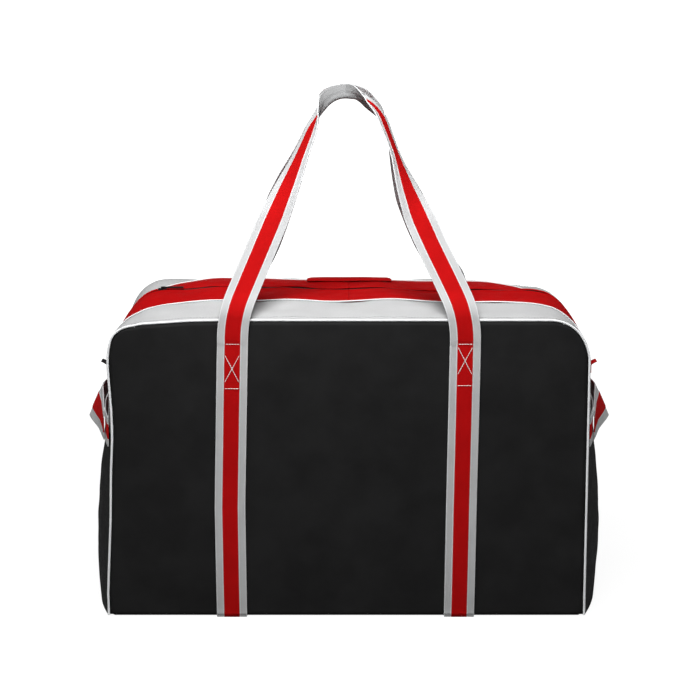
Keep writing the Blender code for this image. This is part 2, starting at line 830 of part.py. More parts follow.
def build():
    clear_scene()
    bag = collection("Hockey equipment bag")
    helpers = collection("Cutters and joined shapes")
    black = material("Black coated fabric", (0.014, 0.014, 0.015), 0.62)
    white = material("White piping", (0.80, 0.81, 0.82), 0.45)
    grey = material("Light grey fabric", (0.62, 0.63, 0.64), 0.55)
    red = material("Red fabric", (0.45, 0.008, 0.012), 0.50)
    web = material("Grey webbing", (0.48, 0.49, 0.50), 0.75)
    stripe = material("Red webbing stripe", (0.42, 0.008, 0.012), 0.70)
    tape = material("Black zip tape", (0.010, 0.010, 0.011), 0.55)
    metal = material("Black zip metal", (0.030, 0.030, 0.032), 0.35, 0.8)
    board = material("Stiffener board", (0.050, 0.050, 0.052), 0.50)

    panel("front_panel", -1.0, bag, black)
    panel("rear_panel", 1.0, bag, black)
    piping("front_piping", -HALF_Y, bag, white)
    piping("rear_piping", HALF_Y, bag, white)
    base_panel("base_panel", bag, black)
    inner_x = HALF_X - BOARD_MARGIN
    inner_y = HALF_Y - BOARD_MARGIN
    board_z = FOOT_Z + FABRIC + GAP
    block(
        "base_board",
        (-inner_x, -inner_y, board_z),
        (inner_x, inner_y, board_z + BOARD),
        bag,
        board,
    )
    for word, side in (("left", -1.0), ("right", 1.0)):
        end_panel(word + "_end_panel", side, bag, black)
        red_gusset(word + "_red_gusset", side, bag, red)
        zip_end(word + "_zip_end", side, bag, tape)
        zip_tab(word + "_zip_tab", side, bag, tape if side < 0 else red)
        end_webbing(word + "_end_webbing", side, bag, web)
        loop = loop_pieces(word, side, bag, helpers, web, stripe)
        hang_on(loop, word + " loop axis", loop_axis(side), bag)
        under_strap(word + "_under_strap", side * STRAP_X, bag, web)
    for word, side in (("front", -1.0), ("rear", 1.0)):
        grey_band(word + "_grey_band", side, bag, grey)
        for hand, x in (("left", -STRAP_X), ("right", STRAP_X)):
            sewn_strap(f"{word}_{hand}_strap", x, side, bag, web)
            sewn_stripe(f"{word}_{hand}_stripe", x, side, bag, stripe)
        leaf = [
            flap(word + "_red_flap", side, bag, red),
            zip_half(word + "_zip_half", side, bag, tape),
        ]
        if side > 0:
            leaf.append(pull_tab("rear_pull_tab", bag, red))
        seam = gusset_point(hoop_run_at_x(0.0), SEAM_Y, FABRIC / 2)
        hang_on(leaf, word + " flap axis", (0.0, side * (SEAM_Y - GAP / 2), seam.z), bag)
        handle = [
            handle_webbing(word + "_handle_webbing", side, bag, web),
            handle_stripe(word + "_handle_stripe", side, bag, stripe),
        ]
        hang_on(handle, word + " handle axis", handle_axis(side), bag)
    slider = zip_slider("zip_slider", bag, helpers, metal)
    hang_on([slider], "slider track", (-SLIDER_PARK_X, 0.0, ZIP_Z), bag)
    puller = zip_puller("zip_puller", bag, helpers, metal)
    hang_on([puller], "puller axis", puller_axis(), bag)


build()
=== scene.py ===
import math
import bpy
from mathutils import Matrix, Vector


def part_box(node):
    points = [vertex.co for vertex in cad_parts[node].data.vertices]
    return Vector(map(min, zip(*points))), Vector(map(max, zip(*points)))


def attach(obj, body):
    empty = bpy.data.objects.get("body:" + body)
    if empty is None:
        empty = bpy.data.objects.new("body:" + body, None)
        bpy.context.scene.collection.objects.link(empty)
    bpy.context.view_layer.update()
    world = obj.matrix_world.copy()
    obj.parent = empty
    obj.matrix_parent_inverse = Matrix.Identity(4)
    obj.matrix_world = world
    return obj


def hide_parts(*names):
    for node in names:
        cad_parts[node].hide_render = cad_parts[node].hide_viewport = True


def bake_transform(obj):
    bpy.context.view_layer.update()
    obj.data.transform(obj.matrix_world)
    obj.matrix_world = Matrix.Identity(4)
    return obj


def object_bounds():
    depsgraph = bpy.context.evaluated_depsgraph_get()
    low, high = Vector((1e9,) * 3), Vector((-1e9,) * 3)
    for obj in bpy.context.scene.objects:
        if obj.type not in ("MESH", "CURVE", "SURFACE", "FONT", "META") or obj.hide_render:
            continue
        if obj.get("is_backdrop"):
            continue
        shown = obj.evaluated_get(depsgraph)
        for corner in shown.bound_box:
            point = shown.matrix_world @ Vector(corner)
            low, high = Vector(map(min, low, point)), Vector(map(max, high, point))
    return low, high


bl_info = {
    "name": "Equipment bag dresser",
    "version": (1, 0, 0),
    "blender": (4, 5, 0),
    "location": "View3D > Sidebar > Bag",
    "description": "Sews the fabric, webbing and trim of an equipment bag round its solid frame",
    "category": "Object",
}

import bpy
import numpy as np
from bpy.props import FloatProperty, FloatVectorProperty, PointerProperty
from mathutils import Vector, noise

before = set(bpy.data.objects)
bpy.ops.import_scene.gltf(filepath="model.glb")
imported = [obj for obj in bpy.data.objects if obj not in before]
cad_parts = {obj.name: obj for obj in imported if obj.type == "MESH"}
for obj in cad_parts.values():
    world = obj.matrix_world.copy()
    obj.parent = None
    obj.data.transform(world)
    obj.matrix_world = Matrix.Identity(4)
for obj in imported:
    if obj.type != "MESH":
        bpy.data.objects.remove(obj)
CAD_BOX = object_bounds()
PIPING_LOW, PIPING_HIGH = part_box("front_piping")
STRAP_LOW, STRAP_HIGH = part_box("front_right_strap")
STRIPE_LOW, STRIPE_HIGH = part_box("front_right_stripe")
PIPE_RADIUS = (PIPING_HIGH[1] - PIPING_LOW[1]) / 2
FACES = (("front", -1.0), ("rear", 1.0))
HANDS = (("left", -1.0), ("right", 1.0))

# Metres: room between neighbours, bare edge between two cloths, step for a slope, half a cloth's thickness
# under the webbing, and height of the base cloth
GAP = 0.0004
EDGE = 0.0002
STEP = 1e-4
CLOTH_FACE = 0.0011
BASE_Z = 0.0037
# Metres from the middle to a flap's edge at the zip
FLAP_SLIT = 0.0072


def length(name, description, default):
    return FloatProperty(
        name=name, description=description, default=default, unit="LENGTH", subtype="DISTANCE", precision=4
    )


def colour(name, description, default):
    return FloatVectorProperty(
        name=name, description=description, default=default, size=3, subtype="COLOR", min=0.0, max=1.0
    )


class BagCut(bpy.types.PropertyGroup):
    """Sizes of the sewn bag."""

    long: length("Length", "Seam to seam along the bag", PIPING_HIGH[0] - PIPING_LOW[0] - 2 * PIPE_RADIUS)
    high: length("Height", "Floor to the top seam", PIPING_HIGH[2] - PIPE_RADIUS)
    deep: length("Depth", "Front seam to rear seam", -2 * (PIPING_LOW[1] + PIPE_RADIUS))
    corner: length("Corner", "Radius of the upper corners", 0.065)
    foot: length("Foot corner", "Radius of the lower corners", 0.008)
    bulge: length("Panel bulge", "How far the front stands out", 0.008)
    crown: length("Top crown", "How far the top stands up between its seams", 0.0215)
    base_crown: length("Base crown", "How far the base bows out at each end", 0.033)
    end_bulge: length("End bulge", "How far the lower ends stand out past the base", 0.012)
    fabric: length("Fabric", "Thickness of the coated fabric", 0.0018)
    grey: length("Grey band", "Width of the outer band of the top", 0.083)
    end_seam: length("End seam", "Height of the seam across each end", 0.303)
    zip_end: length("Zip end", "Height at which the zip ends on each end", 0.388)
    slump: length("Slump", "How far the upper left edge has settled", 0.0055)


class BagWebbing(bpy.types.PropertyGroup):
    """Sizes of the webbing."""

    wide: length("Width", "Width of the webbing", STRAP_HIGH[0] - STRAP_LOW[0])
    stripe: length("Stripe", "Width of the red stripe", STRIPE_HIGH[0] - STRIPE_LOW[0])
    thick: length("Thickness", "Thickness of the webbing", 0.0022)
    raised: length("Raised stripe", "How far the stripe stands up", 0.0011)
    at: length("Place", "Distance of the straps from the middle", (STRAP_HIGH[0] + STRAP_LOW[0]) / 2)
    hinge: length("Sewn height", "Height at which the handles leave the panel", 0.465)
    top: length("Handle height", "Height of the folded grip", 0.843)


class BagColours(bpy.types.PropertyGroup):
    """Colours of the bag."""

    black: colour("Panels", "Black coated fabric", (0.0165, 0.0165, 0.0168))
    grey: colour("Bands", "Light grey coated fabric", (0.47, 0.472, 0.475))
    red: colour("Top", "Red coated fabric", (0.41, 0.0028, 0.0036))
    piping: colour("Piping", "White piping", (0.82, 0.83, 0.84))
    webbing: colour("Webbing", "Grey webbing", (0.60, 0.605, 0.61))
    stripe: colour("Stripe", "Red stripe of the webbing", (0.55, 0.0045, 0.005))


# Curves and tables
def smooth(t):
    t = max(0.0, min(1.0, t))
    return t * t * (3.0 - 2.0 * t)


def spread(low, high, count):
    return [low + (high - low) * i / count for i in range(count + 1)]


def facing(values, turned):
    """The values, the other way round where the sheet would otherwise face inwards."""
    return values[::-1] if turned else values


def eased_table(at, places, values, soft):
    """The table's value at a place, with its corners rounded off over soft metres."""
    return sum(float(np.interp(at + soft * k / 3, places, values)) for k in range(-3, 4)) / 7


# Unevenness of the cloths, in metres: how high or deep the bumps are, and their size
BUMPS = {
    "panel": (0.0009, 0.10),
    "panel, fine": (0.0005, 0.03),
    "end": (0.004, 0.11),
    "end, fine": (0.0015, 0.035),
    "base": (0.0002, 0.05),
    "piping": (0.0003, 0.03),
    "pucker": (0.0012, 0.009),
    "band": (0.0030, 0.055),
    "slit": (0.0022, 0.055),
    "flap": (0.0022, 0.06),
    "pad": (0.0004, 0.03),
}


def ripple(cloth, x, y, z, seed=0.0):
    """How far a cloth stands off its even shape, by its row of BUMPS."""
    height, size = BUMPS[cloth]
    return height * noise.noise(Vector((x / size + seed, y / size + seed * 1.7, z / size - seed)))


# Drape of the top: share of its crown that is left, by distance outwards from where the corner begins, then
# its waves along the front seam, the zip and the rear seam, in millimetres
SUNK_AT = (-0.08, -0.02, 0.0, 0.020, 0.035, 0.055, 0.075, 0.102, 0.23)
SUNK_MIDDLE = (1.0, 1.0, 0.95, 0.60, 0.30, 0.10, 0.05, 0.35, 1.0)
SUNK_REAR = (1.0, 0.58, 0.20, -0.05, -0.15, -0.25, -0.15, 0.25, 1.0)
SUNK_BESIDE = (1.0, 0.85, 0.65, 0.35, 0.15, 0.05, 0.05, 0.35, 1.0)
MM = 1000
WAVE_AT = np.array((-270, -235, -200, -157, -107, -83, -33, 17, 58, 83, 116, 150, 200, 250, 310, 345)) / MM
WAVES = (
    np.array((0.4, 2.4, 2.4, 1.0, 3.8, 3.4, -0.5, 1.4, 4.6, 4.6, 1.4, -0.8, -0.8, 0.0, 0.0, 0.0)) / MM,
    np.array((0.2, 5.0, 4.6, 3.6, 3.6, 3.0, -1.0, 1.0, 3.0, 1.6, -2.4, -5.4, -1.0, -0.8, -1.5, -2.5)) / MM,
    np.array((1.0, 3.6, 3.2, 2.6, 0.6, -0.4, 0.6, 0.6, 0.0, -1.0, -2.6, -2.6, -2.2, -3.5, -6.5, -9.0)) / MM,
)
# How the bag has settled: places along X or up Z in metres, then shares of the slump or slack, or metres
SLUMP_AT = (-0.390, -0.371, -0.348, -0.325, -0.261, -0.214)
SLUMPED = (2.0, 0.5, -0.93, -1.0, -0.18, 0.0)
SLACK_AT = (0.215, 0.245, 0.280, 0.320, 0.370, 0.430)
SLACK = (0.0, 0.15, 0.6, 0.9, 1.0, 0.3)
SLACK_REAR = 0.0125
RAISED_EDGE = 0.0036
LEAN_AT = (0.0, 0.04, 0.105, 0.166, 0.243, 0.305, 0.345, 0.42)
LEAN = (-0.0085, -0.009, -0.0056, -0.0022, 0.0, 0.0034, 0.0030, -0.0014)
# How far the front straps are sewn off their place, from the floor up
ASKEW_AT = (0.0, 0.19, 0.44, 0.465)
ASKEW = {-1.0: (-0.0060, -0.0070, -0.0008, 0.0), 1.0: (-0.0058, -0.0040, -0.0004, 0.0)}


class Bag:
    """The bag's surfaces, from the sizes in the sidebar."""

    def __init__(self, scene):
        for name in BagCut.__annotations__:
            setattr(self, name, getattr(scene.bag_cut, name))
        self.web = scene.bag_webbing
        self.half_x = self.long / 2
        self.half_y = self.deep / 2
        self.seam_y = self.half_y - self.grey
        self.low = self.web.thick + GAP
        self.side_run = self.high - self.corner - self.end_seam
        self.arc_run = math.pi / 2 * self.corner
        self.run = 2 * self.side_run + 2 * self.arc_run + self.long - 2 * self.corner
        inset = PIPE_RADIUS + GAP
        self.panel_x = self.half_x - inset
        self.panel_high = self.high - inset

    def settled(self, at):
        """Lets the top's edges sag or lift and the left end lean, as on a bag that has been left standing."""
        high = smooth((at.z - self.high + self.corner) / 0.030)
        front = smooth((-at.y - 0.03) / 0.14)
        rear = smooth((at.y - 0.10) / 0.07)
        at.z += self.slump * front * high * float(np.interp(at.x, SLUMP_AT, SLUMPED))
        edge = smooth((abs(at.y) - 0.150) / 0.045) * smooth((at.z - self.high + 0.050) / 0.040)
        at.z += RAISED_EDGE * edge
        at.z -= SLACK_REAR * float(np.interp(at.x, SLACK_AT, SLACK)) * rear * high
        near = smooth((0.10 - at.y) / 0.29) * smooth((-0.25 - at.x) / 0.14)
        at.x += near * float(np.interp(at.z, LEAN_AT, LEAN))
        return at

    def crown_share(self, y, curve=2.0):
        return 1.0 - min(1.0, abs(y) / self.half_y) ** curve

    def hoop(self, s):
        if s > self.run / 2:
            x, z, out_x, out_z = self.hoop(self.run - s)
            return -x, z, -out_x, out_z
        turn = max(0.0, min(math.pi / 2, (s - self.side_run) / self.corner))
        out_x = -math.cos(turn)
        out_z = math.sin(turn)
        x = -self.half_x + self.corner + self.corner * out_x + max(0.0, s - self.side_run - self.arc_run)
        z = self.high - self.corner + self.corner * out_z + min(0.0, s - self.side_run)
        return x, z, out_x, out_z

    def run_at_x(self, x):
        return self.side_run + self.arc_run + x + self.half_x - self.corner

    def gusset(self, s, y, lift=0.0):
        x, z, out_x, out_z = self.hoop(s)
        end = self.crown_share(y)
        full = end + (self.crown_share(y, 4.0) - end) * out_z
        down = self.side_run + self.arc_run - min(s, self.run - s)
        middle = eased_table(down, SUNK_AT, SUNK_MIDDLE, 0.018)
        beside = eased_table(down, SUNK_AT, SUNK_REAR if y > 0.0 else SUNK_BESIDE, 0.018)
        sunk = middle + (beside - middle) * smooth(abs(y) / self.seam_y)
        sunk += (1.0 - sunk) * smooth((y - self.seam_y) / 0.055) * out_z
        out = self.crown * full * sunk + self.wave(x, y) * max(0.0, out_z) ** 4 + lift
        return self.settled(Vector((x + out_x * out, y, z + out_z * out)))

    def wave(self, x, y):
        """How far the loose top stands above or below its even shape."""
        heights = [eased_table(x, WAVE_AT, row, 0.020) for row in WAVES]
        places = (-self.half_y, -self.seam_y, 0.0, self.seam_y, self.half_y)
        return float(np.interp(y, places, (0.0, *heights, 0.0)))

    def end_face(self, y, z):
        share = min(1.0, z / self.end_seam)
        crown = self.base_crown + (self.crown - self.base_crown) * share
        crown += self.end_bulge * math.sin(math.pi * share)
        return self.half_x + crown * self.crown_share(y)

    def pillow(self, x, z):
        middle = (self.low + self.panel_high) / 2
        half = (self.panel_high - self.low) / 2
        across = 1.0 - min(1.0, abs(x) / self.panel_x) ** 4
        return across * (1.0 - min(1.0, abs(z - middle) / half) ** 4)

    def strap_depth(self, x, z):
        under = max(self.bulge * self.pillow(x, z) + CLOTH_FACE, PIPE_RADIUS)
        return self.half_y + under + GAP + self.web.thick / 2

    def strap_x(self, way, z, side):
        """The middle of the strap on the left (-1) or right (1); the front ones are sewn a little askew."""
        if side > 0:
            return way * self.web.at
        return way * self.web.at + float(np.interp(z, ASKEW_AT, ASKEW[way]))

    def panel_place(self, x, z):
        """Draws the corners of a square sheet in to the panel's rounded ones."""
        side = math.copysign(1.0, x)
        x = abs(x)
        inset = PIPE_RADIUS + GAP
        top = (self.corner - inset, self.panel_high, 1.0)
        for radius, edge, way in (top, (self.foot, self.low, -1.0)):
            a = (x - self.panel_x + radius) / radius
            b = (way * (z - edge) + radius) / radius
            if a > 0.0 and b > 0.0:
                x = self.panel_x - radius + radius * a * math.sqrt(1.0 - b * b / 2)
                z = edge + way * (radius * b * math.sqrt(1.0 - a * a / 2) - radius)
                break
        return side * x, z


# How the webbing turns and folds towards the grip: distance from its top in metres, then the way that its
# outer and its inner half point, in degrees from straight out of its face, 180 apart where it is flat
LEFT_LAID = (
    (0.0, 0.020, 0.035, 0.050, 0.060, 0.070, 0.080, 0.090, 0.100, 0.115, 0.140, 0.170, 0.200, 0.230, 0.262),
    (97, 102, 112, 128, 135, 140, 143, 146, 147, 145, 141, 131, 119, 108, 90),
    (91, 86, 70, 42, 25, 5, -15, -28, -33, -35, -39, -49, -61, -72, -90),
)
LAID = {
    "front_left": LEFT_LAID,
    "front_right": (
        (0.0, 0.006, 0.012, 0.018, 0.026, 0.036, 0.05, 0.08, 0.105, 0.125, 0.15, 0.17, 0.20, 0.23, 0.262),
        (97, 108, 118, 124, 130, 140, 150, 154, 156, 157, 153, 145, 131, 116, 92),
        (91, 78, 50, 20, -5, -18, -25, -26, -24, -23, -27, -35, -49, -64, -88),
    ),
    "rear_left": LEFT_LAID,
    "rear_right": (
        (0.0, 0.030, 0.045, 0.060, 0.075, 0.090, 0.105, 0.125, 0.150, 0.170, 0.200, 0.230, 0.262),
        (97, 99, 115, 132, 147, 156, 159, 160, 156, 147, 132, 116, 92),
        (91, 81, 65, 48, 25, 0, -18, -20, -24, -33, -48, -64, -88),
    ),
}
# How far the legs bow inwards: share of the leg from the bag to the grip, then metres
BOWED_AT = (0.0, 0.05, 0.12, 0.22, 0.35, 0.50, 0.65, 0.82, 1.0)
BOWED = {
    "front_left": (0.0,) * 9,
    "front_right": (0.0, 0.0002, 0.0010, 0.0030, 0.0060, 0.0075, 0.0060, 0.0020, 0.0),
    "rear_left": (0.0, 0.006, 0.011, 0.012, 0.009, 0.004, 0.001, 0.0, 0.0),
    "rear_right": (0.0, 0.007, 0.014, 0.018, 0.018, 0.015, 0.010, 0.004, 0.0),
}

# A handle, in metres: where it starts to lean, half that bend's length, its grip and the crease along it
LEAN_Z = 0.506
LEAN_BEND = 0.040
GRIP_RADIUS = 0.060
GRIP_Y = 0.018
CREASE_WIDE = 0.006
# Within PINCH_FROM of its top the grip is narrowed by this share and drawn to the left by this much
PINCH_FROM = 0.045
PINCH_EASE = 0.050
PINCH_SHARE = 0.28
PINCH_LEFT = 0.0065
# Near the bag a handle keeps outside the piping, and leans in with the square of its height above it
CLEAR_RUN = 0.15
CLEAR_LEANS = 14.0
CLEAR_PIPING = 0.0018
CLEAR_SOFT = 0.006


class Handle:
    """A carry handle's line and surface, at the front; the rear one is turned to its own side."""

    def __init__(self, bag, word):
        web = bag.web
        self.bag = bag
        self.word = word
        self.known = {}
        self.turns = {}
        self.depth = bag.strap_depth(web.at, web.hinge)
        self.lean = Vector((0.0, self.depth - GRIP_Y, web.top - LEAN_Z))
        self.up = self.lean.normalized()
        reach = self.lean.length - GRIP_RADIUS
        far = math.hypot(web.at, reach)
        self.angle = math.atan2(web.at, reach) - math.asin(GRIP_RADIUS / far)
        self.leg = math.sqrt(far * far - GRIP_RADIUS * GRIP_RADIUS)
        self.rise = LEAN_Z - web.hinge
        self.half = self.rise + self.leg + GRIP_RADIUS * (math.pi / 2 - self.angle)

    def line(self, run):
        if run > self.half:
            at = self.line(2 * self.half - run)
            return Vector((-at.x, at.y, at.z))
        base = Vector((self.bag.web.at, -self.depth, LEAN_Z))
        if run < self.rise:
            return base + Vector((0.0, 0.0, run - self.rise))
        if run < self.rise + self.leg:
            done = run - self.rise
            inwards = Vector((-done * math.sin(self.angle), 0.0, 0.0))
            return base + inwards + self.up * (done * math.cos(self.angle))
        turn = self.angle + (run - self.rise - self.leg) / GRIP_RADIUS
        middle = Vector((0.0, -self.depth, LEAN_Z)) + self.up * (self.lean.length - GRIP_RADIUS)
        outwards = Vector((GRIP_RADIUS * math.cos(turn), 0.0, 0.0))
        return middle + outwards + self.up * (GRIP_RADIUS * math.sin(turn))

    def eased(self, run):
        """The line with its bend at the bag rounded and its legs bowed in a little."""
        if run not in self.known:
            self.known[run] = self.bowed(run)
        return self.known[run]

    def bowed(self, run):
        t = (min(run, 2 * self.half - run) - self.rise + LEAN_BEND) / (2 * LEAN_BEND)
        at = self.line(run)
        if 0.0 < t < 1.0:
            first = self.line(self.rise - LEAN_BEND)
            last = self.line(self.rise + LEAN_BEND)
            middle = self.line(self.rise)
            at = first.lerp(middle, t).lerp(middle.lerp(last, t), t)
            if run > self.half:
                at.x = -at.x
        leg, inwards = ("_right", -1.0) if run < self.half else ("_left", 1.0)
        share = (min(run, 2 * self.half - run) - self.rise) / self.leg
        at.x += inwards * eased_table(share, BOWED_AT, BOWED[self.word + leg], 0.03)
        pinch = 1.0 - smooth((abs(self.half - run) - PINCH_FROM) / PINCH_EASE)
        if self.word == "front":
            pinch *= 1.0 - smooth(at.x / 0.030)
        at.x -= pinch * (PINCH_SHARE * at.x + PINCH_LEFT)
        return at

    def turned(self, run):
        """How far the webbing is turned on edge there, and how far each half is folded up."""
        if run not in self.turns:
            places, *halves = LAID[self.word + ("_right" if run < self.half else "_left")]
            far = abs(self.half - run)
            one, other = (math.radians(eased_table(far, places, half, 0.010)) for half in halves)
            fold = max(0.0, min(0.96 * math.pi / 2, (math.pi - one + other) / 2))
            self.turns[run] = ((one + other) / 2, fold)
        return self.turns[run]

    def place(self, run, v):
        from_end = min(run, 2 * self.half - run)
        leaned = smooth((from_end - self.rise + LEAN_BEND) / (2 * LEAN_BEND))
        face = Vector((0.0, -1.0, 0.0)).lerp(Vector((0.0, -self.up.z, self.up.y)), leaned)
        along = (self.eased(run + STEP) - self.eased(run - STEP)).normalized()
        out = along.cross(face).normalized()
        face = out.cross(along).normalized()
        twist, fold = self.turned(run)
        outer = face * math.cos(twist) + out * math.sin(twist)
        across = along.cross(outer)
        reach = abs(v)
        bent = min(reach, CREASE_WIDE)
        rest = reach - bent
        if fold > 1e-6:
            angle = fold * bent / CREASE_WIDE
            radius = CREASE_WIDE / fold
            sideways = radius * math.sin(angle) + rest * math.cos(fold)
            upward = radius * (1.0 - math.cos(angle)) + rest * math.sin(fold)
        else:
            sideways = reach
            upward = 0.0
        at = self.eased(run) + across * math.copysign(sideways, v) + outer * upward
        if from_end < CLEAR_RUN:
            over = max(0.0, at.z - self.bag.high - RAISED_EDGE - PIPE_RADIUS)
            clear = CLEAR_LEANS * over * over - self.bag.half_y - PIPE_RADIUS - CLEAR_PIPING
            clear -= self.bag.web.thick / 2
            part = max(0.0, 1.0 - abs(at.y - clear) / CLEAR_SOFT)
            at.y = min(at.y, clear) - CLEAR_SOFT / 4 * part * part
        return at


# Modelling steps
def deselect():
    if bpy.context.mode != "OBJECT":
        bpy.ops.object.mode_set(mode="OBJECT")
    bpy.ops.object.select_all(action="DESELECT")


def sewn_sheet(name, us, vs, place, thick, *looks):
    """A grid laid on place(u, v), with a UV map in metres along its threads, then given its thickness."""
    deselect()
    bpy.ops.mesh.primitive_grid_add(x_subdivisions=len(us) - 1, y_subdivisions=len(vs) - 1, size=2.0)
    obj = bpy.context.object
    obj.name = name
    mesh = obj.data
    flat = np.empty(len(mesh.vertices) * 3)
    mesh.vertices.foreach_get("co", flat)
    flat = flat.reshape(-1, 3)
    i = np.rint((flat[:, 0] + 1.0) / 2.0 * (len(us) - 1)).astype(int)
    j = np.rint((flat[:, 1] + 1.0) / 2.0 * (len(vs) - 1)).astype(int)
    laid = [place(us[a], vs[b]) for a, b in zip(i, j)]
    mesh.vertices.foreach_set("co", np.array([tuple(at) for at in laid]).ravel())
    threads = mesh.uv_layers.active.data
    for loop in mesh.loops:
        k = loop.vertex_index
        threads[loop.index].uv = (us[i[k]], vs[j[k]])
    mesh.update()
    mesh.shade_smooth()
    for each in looks:
        mesh.materials.append(look(each))
    wall = obj.modifiers.new("Thickness", "SOLIDIFY")
    wall.thickness = thick
    wall.offset = 0.0
    wall.use_even_offset = True
    wall.material_offset = len(looks) - 1
    wall.material_offset_rim = 0
    bpy.ops.object.modifier_apply(modifier=wall.name)
    return obj


def tube(name, points, radius, finish, sides=3):
    """A round cord along the points, made into a mesh."""
    curve = bpy.data.curves.new(name, "CURVE")
    curve.dimensions = "3D"
    curve.bevel_depth = radius
    curve.bevel_resolution = sides
    curve.use_fill_caps = True
    spline = curve.splines.new("POLY")
    spline.points.add(len(points) - 1)
    for knot, at in zip(spline.points, points):
        knot.co = (*at, 1.0)
    obj = bpy.data.objects.new(name, curve)
    bpy.context.scene.collection.objects.link(obj)
    deselect()
    obj.select_set(True)
    bpy.context.view_layer.objects.active = obj
    bpy.ops.object.convert(target="MESH")
    obj = bpy.context.object
    obj.data.shade_smooth()
    obj.data.materials.clear()
    obj.data.materials.append(look(finish))
    return obj


def stitched(name, over, far, pitch, radius, shade="thread"):
    """A running stitch along over(share, lift): the thread shows above the cloth and dips under between."""
    points = []
    count = max(2, round(far / pitch))
    for i in range(count):
        for t, lift in ((0.06, -0.0009), (0.22, 0.0002), (0.5, 0.0004), (0.78, 0.0002), (0.94, -0.0009)):
            points.append(over((i + t) / count, lift))
    return tube(name, points, radius, shade, sides=1)


def join(pieces, name):
    deselect()
    for piece in pieces:
        piece.select_set(True)
    bpy.context.view_layer.objects.active = pieces[0]
    bpy.ops.object.join()
    pieces[0].name = name
    return pieces[0]


def recoat(node, finish):
    """Gives a CAD node that stays in view its finish."""
    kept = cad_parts[node].data.materials
    kept.clear()
    kept.append(look(finish))


def blend_to_flap(piece, bag, word, side, way):
    """Bakes the transform of a piece of the top into its mesh."""
    seam_z = bag.high + bag.crown * bag.crown_share(bag.seam_y)
    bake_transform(piece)


def dressed(obj, body, slot, *nodes):
    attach(obj, body)
    if nodes:
        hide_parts(*nodes)
    return obj


# Finishes
BLACK = (0.0, 0.0, 0.0)
WHITE = (1.0, 1.0, 1.0)


class Finish:
    """A material or a sky, and short ways to add its nodes."""

    def __init__(self, look, shader="Principled BSDF"):
        look.use_nodes = True
        self.look = look
        self.tree = look.node_tree
        self.shader = self.tree.nodes[shader]

    def add(self, kind, **values):
        node = self.tree.nodes.new(kind)
        for key, value in values.items():
            if key in node.inputs.keys():
                node.inputs[key].default_value = value
            else:
                setattr(node, key, value)
        return node

    def link(self, value, to):
        """Feeds a socket with a number, a colour or another node's output."""
        if isinstance(value, (int, float)):
            to.default_value = value
        elif isinstance(value, tuple):
            to.default_value = (*value, 1.0)
        else:
            self.tree.links.new(value, to)

    def set(self, **values):
        for key, value in values.items():
            self.link(value, self.shader.inputs[key.replace("_", " ").title().replace("Ior", "IOR")])

    def maths(self, operation, *values):
        node = self.add("ShaderNodeMath", operation=operation)
        for socket, value in zip(node.inputs, values):
            self.link(value, socket)
        return node.outputs[0]

    def ramp(self, value, stops):
        node = self.add("ShaderNodeValToRGB")
        marks = node.color_ramp.elements
        while len(marks) < len(stops):
            marks.new(0.5)
        for mark, (place, shade) in zip(marks, stops):
            mark.position = place
            mark.color = (*shade, 1.0)
        self.link(value, node.inputs["Fac"])
        return node.outputs["Color"]

    def mix(self, share, a, b, blend="MIX"):
        node = self.add("ShaderNodeMix", data_type="RGBA", blend_type=blend)
        for k, value in ((0, share), (6, a), (7, b)):
            self.link(value, node.inputs[k])
        return node.outputs[2]

    def threads(self, pitch_u, pitch_v):
        """Height of a plain weave on the UV map, and the place across the cloth."""
        apart = self.add("ShaderNodeSeparateXYZ")
        self.link(self.add("ShaderNodeTexCoord").outputs["UV"], apart.inputs[0])
        u = self.maths("SINE", self.maths("MULTIPLY", apart.outputs[0], 2 * math.pi / pitch_u))
        v = self.maths("SINE", self.maths("MULTIPLY", apart.outputs[1], 2 * math.pi / pitch_v))
        return self.maths("MULTIPLY", u, v), apart.outputs[1]

    def cloud(self, size):
        node = self.add("ShaderNodeTexNoise", Scale=1.0 / size, Detail=3.0)
        self.link(self.add("ShaderNodeTexCoord").outputs["Object"], node.inputs["Vector"])
        return node.outputs["Fac"]

    def bump(self, height, distance, strength):
        node = self.add("ShaderNodeBump", Strength=strength, Distance=distance)
        self.link(height, node.inputs["Height"])
        self.set(normal=node.outputs["Normal"])


def coated_fabric(name, shade, pitch, roughness, tone):
    """Coated polyester: a plain weave, a little cloudy, with uneven gloss."""
    finish = Finish(bpy.data.materials.new(name))
    weave, _ = finish.threads(pitch, pitch)
    cloud = finish.cloud(0.06)
    dark = tuple(c * (1.0 - tone) for c in shade)
    light = tuple(min(1.0, c * (1.0 + tone)) for c in shade)
    base = finish.ramp(cloud, ((0.35, dark), (0.65, light)))
    lit = finish.ramp(weave, ((0.0, (0.86,) * 3), (0.6, WHITE)))
    matt, glossy = (roughness + 0.06,) * 3, (roughness - 0.06,) * 3
    rough = finish.ramp(finish.cloud(0.02), ((0.3, glossy), (0.7, matt)))
    finish.bump(weave, 0.00012, 0.5)
    finish.set(base_color=finish.mix(1.0, base, lit, "MULTIPLY"), roughness=rough, specular_ior_level=0.04)
    return finish.look


